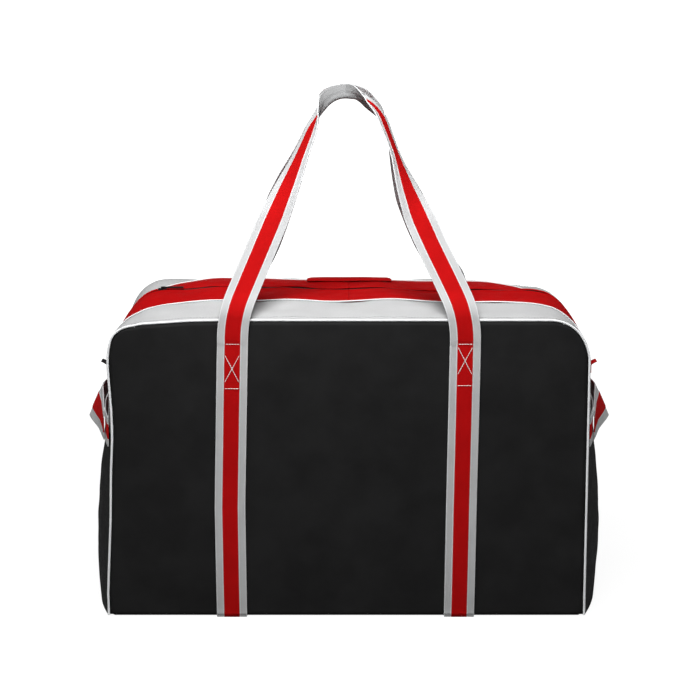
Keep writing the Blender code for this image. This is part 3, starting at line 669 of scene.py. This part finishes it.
def webbing_finish(name, grey, red, half_stripe, half_wide):
    """Woven webbing: ribs across, with the red stripe and its pale borders when red is given."""
    finish = Finish(bpy.data.materials.new(name))
    weave, across = finish.threads(0.0022, 0.0017)
    tone = finish.ramp(finish.cloud(0.05), ((0.3, tuple(c * 0.93 for c in grey)), (0.7, grey)))
    if red:
        off = finish.maths("DIVIDE", finish.maths("ABSOLUTE", across), half_wide)
        edge = half_stripe / half_wide
        outside = finish.ramp(off, ((edge - 0.012, BLACK), (edge + 0.012, WHITE)))
        warm = finish.ramp(finish.cloud(0.04), ((0.3, tuple(c * 0.88 for c in red)), (0.7, red)))
        tone = finish.mix(outside, warm, tone)
        pale = ((edge + 0.005, BLACK), (edge + 0.02, WHITE), (edge + 0.06, WHITE), (edge + 0.08, BLACK))
        border = finish.ramp(off, ((0.0, BLACK), *pale, (0.93, BLACK), (0.95, WHITE)))
        tone = finish.mix(finish.maths("MULTIPLY", border, 0.75), tone, (0.80, 0.81, 0.82))
    ribs = finish.ramp(weave, ((0.1, (0.80, 0.80, 0.80)), (0.7, WHITE)))
    finish.set(base_color=finish.mix(1.0, tone, ribs, "MULTIPLY"), roughness=0.8, specular_ior_level=0.05)
    finish.bump(weave, 0.0003, 0.7)
    return finish.look


def plain_finish(name, shade, roughness, metallic, grain, tone):
    """A plain moulded, spun or painted finish with a fine grain."""
    finish = Finish(bpy.data.materials.new(name))
    cloud = finish.cloud(grain)
    dark = tuple(c * (1.0 - tone) for c in shade)
    base = finish.ramp(cloud, ((0.3, dark), (0.7, shade)))
    finish.set(base_color=base, roughness=roughness, metallic=metallic)
    finish.bump(cloud, 0.0001, 0.5)
    return finish.look


LOOKS = {}
# Title, shade or its name in the sidebar, thread pitch, roughness and unevenness
FABRICS = {
    "black": ("Black coated fabric", "black", 0.0011, 0.60, 0.12),
    "grey": ("Light grey coated fabric", "grey", 0.0011, 0.55, 0.03),
    "red": ("Red coated fabric", "red", 0.0011, 0.52, 0.06),
    "lining": ("Dark lining", (0.03, 0.03, 0.032), 0.0009, 0.7, 0.1),
    "tape": ("Zip tape", (0.012, 0.012, 0.013), 0.0009, 0.65, 0.1),
}
# Title, shade or its name in the sidebar, roughness, share of metal, size of the grain and unevenness
PLAIN = {
    "piping": ("White piping", "piping", 0.42, 0.0, 0.006, 0.06),
    "thread": ("White thread", (0.80, 0.80, 0.78), 0.7, 0.0, 0.002, 0.1),
    "grey thread": ("Grey thread", (0.30, 0.30, 0.30), 0.8, 0.0, 0.002, 0.1),
    "teeth": ("Zip coil", (0.018, 0.018, 0.019), 0.42, 0.0, 0.003, 0.1),
    "metal": ("Enamelled zip metal", (0.03, 0.03, 0.032), 0.34, 0.7, 0.003, 0.1),
    "board": ("Stiffener board", (0.05, 0.05, 0.052), 0.55, 0.0, 0.01, 0.1),
}


def webbing_look(name):
    shades = bpy.context.scene.bag_colours
    web = bpy.context.scene.bag_webbing
    grey = tuple(shades.webbing)
    if name == "striped":
        return webbing_finish("Striped webbing", grey, tuple(shades.stripe), web.stripe / 2, web.wide / 2)
    # Painted shade: the plain reverse is given 0.58 of the face's grey so that the folded grip, which shows
    # this side, renders darker
    shaded_reverse_grey = tuple(c * 0.58 for c in grey)
    return webbing_finish("Reverse of the webbing", shaded_reverse_grey, None, 0.0, web.wide / 2)


def look(name):
    """The named finish, made the first time that it is asked for."""
    if name not in LOOKS:
        make, rows = (coated_fabric, FABRICS) if name in FABRICS else (plain_finish, PLAIN)
        if name in rows:
            title, shade, *rest = rows[name]
            if isinstance(shade, str):
                shade = tuple(getattr(bpy.context.scene.bag_colours, shade))
            LOOKS[name] = make(title, shade, *rest)
        else:
            LOOKS[name] = webbing_look(name)
    return LOOKS[name]


# Operators, one for each group of pieces
class BAG_OT_stage(bpy.types.Operator):
    """Sets up the floor, the light and the camera"""

    bl_idname = "bag.stage"
    bl_label = "Stage"

    def execute(self, context):
        scene = context.scene
        scene.view_settings.view_transform = "Standard"
        deselect()
        bpy.ops.mesh.primitive_plane_add(size=120.0, location=(0.0, 0.0, 0.0))
        floor = context.object
        floor.name = "floor"
        ground = Finish(bpy.data.materials.new("Pale floor"))
        ground.set(base_color=(0.32,) * 3, roughness=0.9)
        seen = ground.add("ShaderNodeLightPath")
        bright = ground.add("ShaderNodeEmission", Color=(1.0, 1.0, 1.0, 1.0), Strength=1.55)
        both = ground.add("ShaderNodeMixShader")
        apart = ground.add("ShaderNodeVectorMath", operation="LENGTH")
        ground.link(ground.add("ShaderNodeTexCoord").outputs["Object"], apart.inputs[0])
        away = ground.add("ShaderNodeMapRange")
        for key, value in (("From Min", 0.9), ("From Max", 2.6), ("To Min", 0.60), ("To Max", 0.82)):
            away.inputs[key].default_value = value
        ground.link(apart.outputs["Value"], away.inputs["Value"])
        share = ground.maths("MULTIPLY", seen.outputs["Is Camera Ray"], away.outputs[0])
        ground.link(share, both.inputs[0])
        ground.link(ground.shader.outputs[0], both.inputs[1])
        ground.link(bright.outputs[0], both.inputs[2])
        ground.link(both.outputs[0], ground.tree.nodes["Material Output"].inputs["Surface"])
        floor.data.materials.append(ground.look)
        floor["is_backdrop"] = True
        sky = Finish(bpy.data.worlds.new("Studio"), "Background")
        scene.world = sky.look
        seen = sky.add("ShaderNodeLightPath").outputs["Is Camera Ray"]
        sky.set(color=WHITE, strength=sky.maths("MULTIPLY_ADD", seen, 0.93, 0.07))
        for name, place, aim, size, power in (
            ("Overhead", (-0.12, -0.95, 1.88), (0.0, -0.12, 0.3), 1.1, 49.0),
            ("Front", (0.9, -3.0, 2.2), (0.0, -0.2, 0.4), 2.0, 1.5),
            ("Left", (-2.6, 0.1, 0.8), (0.0, 0.0, 0.4), 1.2, 13.0),
            ("Right", (2.6, 0.1, 0.8), (0.0, 0.0, 0.4), 1.2, 13.0),
            ("Rear", (0.0, 4.2, 0.75), (0.0, 0.2, 0.35), 1.6, 40.0),
        ):
            lamp = bpy.data.lights.new(name, "AREA")
            lamp.size = size
            lamp.energy = power
            holder = bpy.data.objects.new(name, lamp)
            holder.location = place
            holder.rotation_euler = (Vector(aim) - Vector(place)).to_track_quat("-Z", "Y").to_euler()
            holder.visible_camera = False
            holder.visible_glossy = name != "Rear"
            scene.collection.objects.link(holder)
        lens = bpy.data.cameras.new("Camera")
        lens.lens = 106.9
        camera = bpy.data.objects.new("Camera", lens)
        camera.location = (0.0016, -3.495, 1.1052)
        aim = Vector((0.0016, -0.195, 0.4507))
        camera.rotation_euler = (aim - camera.location).to_track_quat("-Z", "Y").to_euler()
        scene.collection.objects.link(camera)
        scene.camera = camera
        return {"FINISHED"}


# Metres: how far the panels lie inside their even shape, and how far the base stops short of the ends
PANEL_SUNK = 0.0012
BASE_SHORT = 0.0020


class BAG_OT_panels(bpy.types.Operator):
    """Cuts the front, rear, end and base panels"""

    bl_idname = "bag.panels"
    bl_label = "Panels"

    def execute(self, context):
        bag = Bag(context.scene)
        for word, side in FACES:

            def place(x, z, side=side):
                x, z = bag.panel_place(x, z)
                pillow = bag.pillow(x, z)
                soft = ripple("panel", x, 0.0, z, side) + ripple("panel, fine", x, 0.0, z, side)
                depth = bag.half_y + bag.bulge * pillow + (soft - PANEL_SUNK) * min(1.0, pillow * 4.0)
                return bag.settled(Vector((x, side * depth, z)))

            xs = facing(spread(-bag.panel_x, bag.panel_x, 120), side > 0)
            zs = spread(bag.low, bag.panel_high, 76)
            panel = sewn_sheet(word + "_panel_cloth", xs, zs, place, bag.fabric, "black", "lining")
            dressed(panel, "bag_body", "black_fabric", word + "_panel")
        edge = bag.half_y - PIPE_RADIUS - GAP
        for word, side in HANDS:

            def end_place(y, z, side=side):
                share = bag.crown_share(y) * math.sin(math.pi * min(1.0, z / bag.end_seam))
                soft = ripple("end", 0.0, y, z, side * 2.0) + ripple("end, fine", 0.0, y, z, side)
                return bag.settled(Vector((side * (bag.end_face(y, z) + soft * share), y, z)))

            ys = facing(spread(-edge, edge, 72), side < 0)
            zs = spread(bag.low, bag.end_seam - EDGE, 60)
            end = sewn_sheet(word + "_end_cloth", ys, zs, end_place, bag.fabric, "black", "lining")
            dressed(end, "bag_body", "black_fabric", word + "_end_panel")

        def base_place(share, y):
            x = share * (bag.end_face(y, 0.0) - BASE_SHORT)
            return bag.settled(Vector((x, y, BASE_Z + ripple("base", x, y, 0.0))))

        shares, ys = spread(-1.0, 1.0, 60), spread(edge, -edge, 40)
        base = sewn_sheet("base_cloth", shares, ys, base_place, bag.fabric, "black", "lining")
        dressed(base, "bag_body", "black_fabric", "base_panel")
        recoat("base_board", "board")
        return {"FINISHED"}


# Piping: steps round a corner, then in metres the cord's steps and how much of it lies in its seam
CORNER_STEPS = 14
CORD_STEP = 0.012
CORD_SUNK = 0.0005


class BAG_OT_piping(bpy.types.Operator):
    """Lays the white piping round the front and rear panels"""

    bl_idname = "bag.piping"
    bl_label = "Piping"

    def execute(self, context):
        bag = Bag(context.scene)
        for word, side in FACES:
            line = [(bag.half_x, bag.low)]
            for way in (1.0, -1.0):
                for i in range(CORNER_STEPS + 1):
                    turn = math.pi / 2 * (i / CORNER_STEPS + (0.0 if way > 0 else 1.0))
                    x = way * (bag.half_x - bag.corner) + bag.corner * math.cos(turn)
                    line.append((x, bag.high - bag.corner + bag.corner * math.sin(turn)))
            line.append((-bag.half_x, bag.low))
            path = []
            for (x, z), (far_x, far_z) in zip(line, line[1:]):
                steps = max(1, round(math.hypot(far_x - x, far_z - z) / CORD_STEP))
                for i in range(steps):
                    at_x = x + (far_x - x) * i / steps
                    at_z = z + (far_z - z) * i / steps
                    soft = ripple("piping", at_x, side, at_z)
                    path.append(bag.settled(Vector((at_x, side * bag.half_y + soft, at_z))))
            path.append(bag.settled(Vector((-bag.half_x, side * bag.half_y, bag.low))))
            cord = tube(word + "_piping_cord", path, PIPE_RADIUS - CORD_SUNK, "piping")
            dressed(cord, "bag_body", "white_piping", word + "_piping")
        return {"FINISHED"}


# Top, in metres: how far bands and flaps lie inside their even shape, and their soft and puckered edges
BAND_SUNK = 0.0008
FLAP_SUNK = 0.0006
BAND_EASE = 0.02
PUCKER_WIDE = 0.022
# Its rows of stitches: how far from the piping, the seam and the ends, then their pitch and thread
ROW_OFF_PIPING = 0.0055
ROW_OFF_SEAM = 0.0045
ROW_OFF_END = 0.004
ROW_PITCH = 0.0050
ROW_THREAD = 0.00042
# Its cord along the seam, then the mouth at the zip with its hem
SEAM_CORD = 0.0011
SEAM_LIFT = 0.0008
MOUTH_EASE = 0.012
HEM_HIGH = 0.0015
HEM_AT = 0.003
HEM_WIDE = 0.004


class BAG_OT_top(bpy.types.Operator):
    """Sews the grey bands, the red flaps and the edge lines of the top"""

    bl_idname = "bag.top"
    bl_label = "Top"

    def execute(self, context):
        bag = Bag(context.scene)
        edge = bag.half_y - PIPE_RADIUS - GAP
        mouth = bag.zip_end - bag.end_seam
        for word, side in FACES:

            def band(s, y, side=side):
                near = max(0.0, 1.0 - (edge - abs(y)) / PUCKER_WIDE)
                pucker = near * ripple("pucker", s, 0.0, 0.0, side)
                soft = ripple("band", s, y * 1.4, 0.0, side) * min(1.0, (edge - abs(y)) / BAND_EASE)
                return bag.gusset(s, y, pucker + soft - BAND_SUNK)

            runs = spread(EDGE, bag.run - EDGE, 300)
            ys = facing(spread(side * bag.seam_y, side * edge, 24), side < 0)
            cloth = sewn_sheet(word + "_grey_cloth", runs, ys, band, bag.fabric, "grey", "lining")
            dressed(cloth, "bag_body", "grey_fabric", word + "_grey_band")
            rows = []
            for y in (edge - ROW_OFF_PIPING, bag.seam_y + ROW_OFF_SEAM):

                def over(share, lift, y=y, side=side):
                    s = ROW_OFF_END + (bag.run - 2 * ROW_OFF_END) * share
                    at = band(s, side * y)
                    ahead = band(s + STEP, side * y) - at
                    beside = band(s, side * y + STEP) - at
                    return at + ahead.cross(beside).normalized() * (lift + bag.fabric / 2)

                rows.append(stitched("row", over, bag.run, ROW_PITCH, ROW_THREAD, "grey thread"))
            dressed(join(rows, word + "_band_stitches"), "bag_body", "white_piping")
            line = [bag.gusset(s, side * bag.seam_y, SEAM_LIFT) for s in spread(0.0, bag.run, 260)]
            cord = tube(word + "_seam_edge", line, SEAM_CORD, "piping")
            dressed(cord, "bag_body", "white_piping")
            for hand, way in HANDS:

                def red(t, r, side=side, way=way):
                    s = EDGE + (bag.run / 2 - EDGE) * t
                    open_share = smooth((s - mouth) / MOUTH_EASE)
                    along = s if way < 0 else bag.run - s
                    x = bag.hoop(along)[0]
                    wave = BUMPS["slit"][0] + ripple("slit", x, 0.0, 0.0, side * 3.0)
                    inner = max(open_share * (FLAP_SLIT + wave), EDGE)
                    y = side * (inner + (bag.seam_y - EDGE - inner) * r)
                    hem = HEM_HIGH * open_share * smooth(1.0 - abs(abs(y) - inner - HEM_AT) / HEM_WIDE)
                    soft = ripple("flap", x, y, 0.0, side) * min(1.0, (1.0 - r) * 5.0)
                    return bag.gusset(along, y, hem + soft - FLAP_SUNK)

                ts = spread(0.0, 1.0, 170)
                rs = facing(spread(0.0, 1.0, 26), side * way > 0)
                half = sewn_sheet(f"{word}_{hand}_red_cloth", ts, rs, red, bag.fabric, "red", "lining")
                blend_to_flap(half, bag, word, side, way)
                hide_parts(word + "_red_flap", hand + "_red_gusset")
        return {"FINISHED"}


# Zip, in metres: its tapes, with their height off the top and how far they run on past the zip's end
TAPE_DROP = -0.0023
TAPE_WIDE = 0.0128
TAPE_THICK = 0.0010
TAPE_PAST = 0.008
# Its coils: their turns, the place of their middle, half their width and height, and their wire
COIL_TURNS = 150
COIL_AT = 0.0030
COIL_LIFT = 0.0011
COIL_HALF = 0.0010
COIL_HIGH = 0.0009
COIL_WIRE = 0.00045
# The pull tab, with its rounded edges and how far it stops short of its solid
PAD_THICK = 0.0016
PAD_LIFT = 0.0017
PAD_PUFF = 0.0036
PAD_ROUND_X = 0.008
PAD_ROUND_Y = 0.006
PAD_SHORT = 0.0005
# The end tabs: their flat part, whole length, rise and half width
TAB_FLAT = 0.014
TAB_LONG = 0.026
TAB_RISE = 0.006
TAB_HALF = 0.0118


class BAG_OT_zip(bpy.types.Operator):
    """Makes the zip's tapes and coils, its end tabs and the pull tab"""

    bl_idname = "bag.zip"
    bl_label = "Zip"

    def execute(self, context):
        bag = Bag(context.scene)
        first = bag.zip_end - bag.end_seam - TAPE_PAST
        for word, side in FACES:
            for hand, way in HANDS:

                def tape(s, y, lift=TAPE_DROP, way=way):
                    return bag.gusset(s if way < 0 else bag.run - s, y, lift)

                runs = spread(first, bag.run / 2, 90)
                ys = facing(spread(side * EDGE, side * (EDGE + TAPE_WIDE), 4), side * way > 0)
                strip = sewn_sheet(f"{word}_{hand}_zip_tape", runs, ys, tape, TAPE_THICK, "tape")
                coil = []
                for i in range(COIL_TURNS * 4 + 1):
                    s = first + (bag.run / 2 - first) * i / (COIL_TURNS * 4)
                    turn = i * math.pi / 2
                    y = side * (COIL_AT + COIL_HALF * math.cos(turn))
                    coil.append(tape(s, y, TAPE_DROP + COIL_LIFT + COIL_HIGH * math.sin(turn)))
                teeth = tube(f"{word}_{hand}_zip_teeth", coil, COIL_WIRE, "teeth", sides=1)
                for piece in (strip, teeth):
                    blend_to_flap(piece, bag, word, side, way)
                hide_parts(word + "_zip_half", hand + "_zip_end")
        for hand, way in HANDS:
            low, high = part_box(hand + "_zip_tab")
            base = min(abs(low[0]), abs(high[0])) + 0.0010
            reach = abs(high[0] - low[0]) - 0.0020

            def tab(run, y, way=way, base=base, reach=reach, low=low):
                out = max(0.0, run - TAB_FLAT) / (TAB_LONG - TAB_FLAT)
                lift = reach * out * (0.45 + 0.55 * out)
                rise = low[2] + min(run, TAB_FLAT) + TAB_RISE * out
                return Vector((way * (base + lift), y * (1.0 - 0.12 * out * out), rise + GAP))

            ys = facing(spread(-TAB_HALF, TAB_HALF, 8), way < 0)
            finish, slot = ("tape", "zip_tape") if way < 0 else ("red", "red_fabric")
            runs = spread(0.0, TAB_LONG, 16)
            piece = sewn_sheet(hand + "_zip_end_tab", runs, ys, tab, bag.fabric, finish)
            dressed(piece, "bag_body", slot, hand + "_zip_tab")
        low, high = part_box("rear_pull_tab")

        def pad(x, y):
            edge_x = min(1.0, (abs(low[0]) - abs(x)) / PAD_ROUND_X)
            edge_y = min(1.0, min(y - low[1], high[1] - y) / PAD_ROUND_Y)
            puff = PAD_PUFF * math.sqrt(max(0.0, min(edge_x, edge_y)))
            return bag.gusset(bag.run_at_x(x), y, PAD_LIFT + puff + ripple("pad", x, y, 0.0))

        xs = spread(low[0] + PAD_SHORT, high[0] - PAD_SHORT, 60)
        ys = spread(low[1] + PAD_SHORT, high[1] - PAD_SHORT, 24)
        piece = sewn_sheet("rear_pull_pad", xs, ys, pad, PAD_THICK, "red")
        dressed(piece, "rear_flap", "red_fabric", "rear_pull_tab")
        for name in ("zip_slider", "zip_puller"):
            recoat(name, "metal")
        return {"FINISHED"}


# Webbing, in metres: how far it lies inside its even shape, the slope beside its stripe, and how much
# narrower and lower the runs under the base are
WEB_SUNK = 0.0003
STRIPE_EASE = 0.0012
UNDER_NARROWER = 0.0006
UNDER_SUNK = 0.0002


def ribbon(name, runs, place, width, raised, outward):
    """Webbing along place(run, v), its stripe standing a little above its face."""
    web = bpy.context.scene.bag_webbing

    def woven(run, v):
        along = place(run + STEP, v) - place(run - STEP, v)
        across = place(run, v + STEP) - place(run, v - STEP)
        lift = raised * smooth((web.stripe / 2 + STRIPE_EASE / 2 - abs(v)) / STRIPE_EASE) - WEB_SUNK
        return place(run, v) + along.cross(across).normalized() * (lift * outward)

    vs = facing(spread(-width / 2, width / 2, 28), outward < 0)
    return sewn_sheet(name, runs, vs, woven, web.thick - GAP, "striped", "reverse")


# Box stitches, in metres: heights of the two rows across the stripe, and of the ends of the cross between
# them, then how far they keep from the stripe's edges, their pitch and thread
BOX_STITCH = {"left": ((0.4616, 0.389), (0.4427, 0.400)), "right": ((0.4616, 0.394), (0.456, 0.413))}
BOX_INSET = 0.0012
BOX_PITCH = 0.0042
BOX_THREAD = 0.00055


class BAG_OT_webbing(bpy.types.Operator):
    """Sews on the front and rear webbing, each one run from floor to floor through its handle"""

    bl_idname = "bag.webbing"
    bl_label = "Webbing"

    def execute(self, context):
        bag = Bag(context.scene)
        web = bag.web
        low = web.thick + GAP
        sewn = web.hinge - low
        for word, side in FACES:
            handle = Handle(bag, word)
            swing = 2 * handle.half
            runs = spread(0.0, sewn, 90) + spread(sewn, sewn + swing, 420)[1:]
            runs += spread(sewn + swing, swing + 2 * sewn, 90)[1:]

            def place(run, v, side=side):
                if sewn <= run <= sewn + swing:
                    at = handle.place(run - sewn, v)
                    return Vector((at.x, -side * at.y, at.z))
                way = 1.0 if run < sewn else -1.0
                z = low + (run if run < sewn else swing + 2 * sewn - run)
                x = bag.strap_x(way, z, side) + way * v
                return Vector((x, side * bag.strap_depth(x, z), z))

            piece = ribbon(word + "_carry_web", runs, place, web.wide, web.raised, side)
            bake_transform(piece)
            nodes = [f"{word}_{hand}_{part}" for hand in ("left", "right") for part in ("strap", "stripe")]
            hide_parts(word + "_handle_webbing", word + "_handle_stripe", *nodes)
            for hand, way in HANDS:
                self.box_stitch(bag, f"{word}_{hand}_box_stitch", way, side, *BOX_STITCH[hand])
        reach = bag.half_y + PIPE_RADIUS + web.thick
        narrow = web.wide - UNDER_NARROWER
        for hand, way in HANDS:

            def under(y, v, way=way):
                lean = (1.0 - y / reach) / 2
                x = way * web.at + (bag.strap_x(way, 0.0, -1.0) - way * web.at) * lean
                return Vector((x + v, y, web.thick / 2 - UNDER_SUNK))

            piece = ribbon(hand + "_under_web", spread(-reach, reach, 40), under, narrow, 0.0, 1.0)
            dressed(piece, "bag_body", "grey_webbing", hand + "_under_strap")
        return {"FINISHED"}

    def box_stitch(self, bag, name, way, side, rows, cross):
        """Two rows of stitches across the stripe and a cross between them, in white thread."""
        web = bag.web
        half = web.stripe / 2 - BOX_INSET
        lines = [((-half, z), (half, z)) for z in rows]
        lines.append(((-half, cross[0]), (half, cross[1])))
        lines.append(((half, cross[0]), (-half, cross[1])))
        made = []
        for (x0, z0), (x1, z1) in lines:

            def over(share, lift, x0=x0, z0=z0, x1=x1, z1=z1):
                z = z0 + (z1 - z0) * share
                x = bag.strap_x(way, z, side) + x0 + (x1 - x0) * share
                return x, side * (bag.strap_depth(x, z) + web.thick / 2 + web.raised - WEB_SUNK + lift), z

            made.append(stitched("stitch", over, math.hypot(x1 - x0, z1 - z0), BOX_PITCH, BOX_THREAD))
        dressed(join(made, name), "bag_body", "white_piping")


# End loops, in metres: height of the webbing across the end, half the loop's span, how far it is lifted, its
# flare and its tilt
LOOP_Z = 0.313
LOOP_SPAN = 0.140
LOOP_LIFT = 0.015
LOOP_FLARE = 0.2
LOOP_TILT = math.radians(24.0)
# Its tent shape: half its length, how soon it is lifted, where its feet are, how round its middle is, and
# how far that is pulled out and drops
LOOP_TENT = 0.125
LOOP_EASE = 0.050
LOOP_FOOT_Y = 0.135
LOOP_ROUND = 0.010
LOOP_PULL = 0.006
LOOP_DROP = 0.004
# How far the webbing across the end stops short of the seams
END_WEB_SHORT = 0.008


class BAG_OT_loops(bpy.types.Operator):
    """Makes the webbing across each end and its grab loop"""

    bl_idname = "bag.loops"
    bl_label = "End loops"

    def execute(self, context):
        bag = Bag(context.scene)
        web = bag.web
        for word, side in HANDS:

            def across(y, v, side=side):
                z = LOOP_Z + v
                slope = (bag.end_face(y + STEP, z) - bag.end_face(y - STEP, z)) / (2 * STEP)
                out = Vector((1.0, -slope, 0.0)).normalized() * (CLOTH_FACE + GAP + web.thick / 2)
                return Vector((side * (bag.end_face(y, z) + out.x), y + out.y, z))

            reach = bag.half_y - END_WEB_SHORT
            piece = ribbon(word + "_end_web", spread(-reach, reach, 110), across, web.wide, 0.0, side)
            dressed(piece, "bag_body", "grey_webbing", word + "_end_webbing")
            base = CLOTH_FACE + GAP + web.thick + GAP + web.thick / 2

            def loop(y, v, side=side):
                share = max(0.0, 1.0 - (math.hypot(y, LOOP_ROUND) - LOOP_ROUND) / LOOP_TENT)
                tilt = LOOP_TILT * share
                lifted = smooth((LOOP_SPAN - abs(y)) / LOOP_EASE)
                middle = LOOP_Z + LOOP_LIFT * lifted
                widen = 1.0 + LOOP_FLARE * lifted
                below = widen * (web.wide / 2 - v)
                foot = bag.end_face(LOOP_FOOT_Y, middle)
                drawn = foot + (bag.end_face(0.0, middle) + LOOP_PULL - foot) * share
                out = max(bag.end_face(y, middle + widen * v), drawn) + base + below * math.sin(tilt)
                high = middle + widen * web.wide / 2 - LOOP_DROP * share
                return Vector((side * out, y, high - below * math.cos(tilt)))

            for end, way in FACES:
                runs = facing(spread(way * LOOP_SPAN, 0.0, 90), way > 0)
                half = ribbon(f"{word}_{end}_loop_web", runs, loop, web.wide, web.raised, side)
                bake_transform(half)
                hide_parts(f"{word}_{end}_foot", word + "_handle_loop", word + "_loop_stripe")
        return {"FINISHED"}


class BAG_PT_panel(bpy.types.Panel):
    """Lists the steps that dress the bag"""

    bl_idname = "BAG_PT_panel"
    bl_label = "Equipment bag"
    bl_space_type = "VIEW_3D"
    bl_region_type = "UI"
    bl_category = "Bag"

    def draw(self, context):
        for step in STEPS:
            self.layout.operator(step)
        for group in (context.scene.bag_cut, context.scene.bag_webbing, context.scene.bag_colours):
            for name in group.__annotations__:
                self.layout.prop(group, name)


STEPS = ("bag.stage", "bag.panels", "bag.piping", "bag.top", "bag.zip", "bag.webbing", "bag.loops")
CLASSES = (
    BagCut,
    BagWebbing,
    BagColours,
    BAG_OT_stage,
    BAG_OT_panels,
    BAG_OT_piping,
    BAG_OT_top,
    BAG_OT_zip,
    BAG_OT_webbing,
    BAG_OT_loops,
    BAG_PT_panel,
)


def register():
    for each in CLASSES:
        bpy.utils.register_class(each)
    bpy.types.Scene.bag_cut = PointerProperty(type=BagCut)
    bpy.types.Scene.bag_webbing = PointerProperty(type=BagWebbing)
    bpy.types.Scene.bag_colours = PointerProperty(type=BagColours)


def unregister():
    del bpy.types.Scene.bag_cut
    del bpy.types.Scene.bag_webbing
    del bpy.types.Scene.bag_colours
    for each in reversed(CLASSES):
        bpy.utils.unregister_class(each)


def main():
    register()
    bpy.ops.bag.stage()
    bpy.ops.bag.panels()
    bpy.ops.bag.piping()
    bpy.ops.bag.top()
    bpy.ops.bag.zip()
    bpy.ops.bag.webbing()
    bpy.ops.bag.loops()
    boxes = {"cad": CAD_BOX, "visual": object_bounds()}
    {name: [[float(c) for c in corner] for corner in box] for name, box in boxes.items()}


if __name__ == "__main__":
    main()
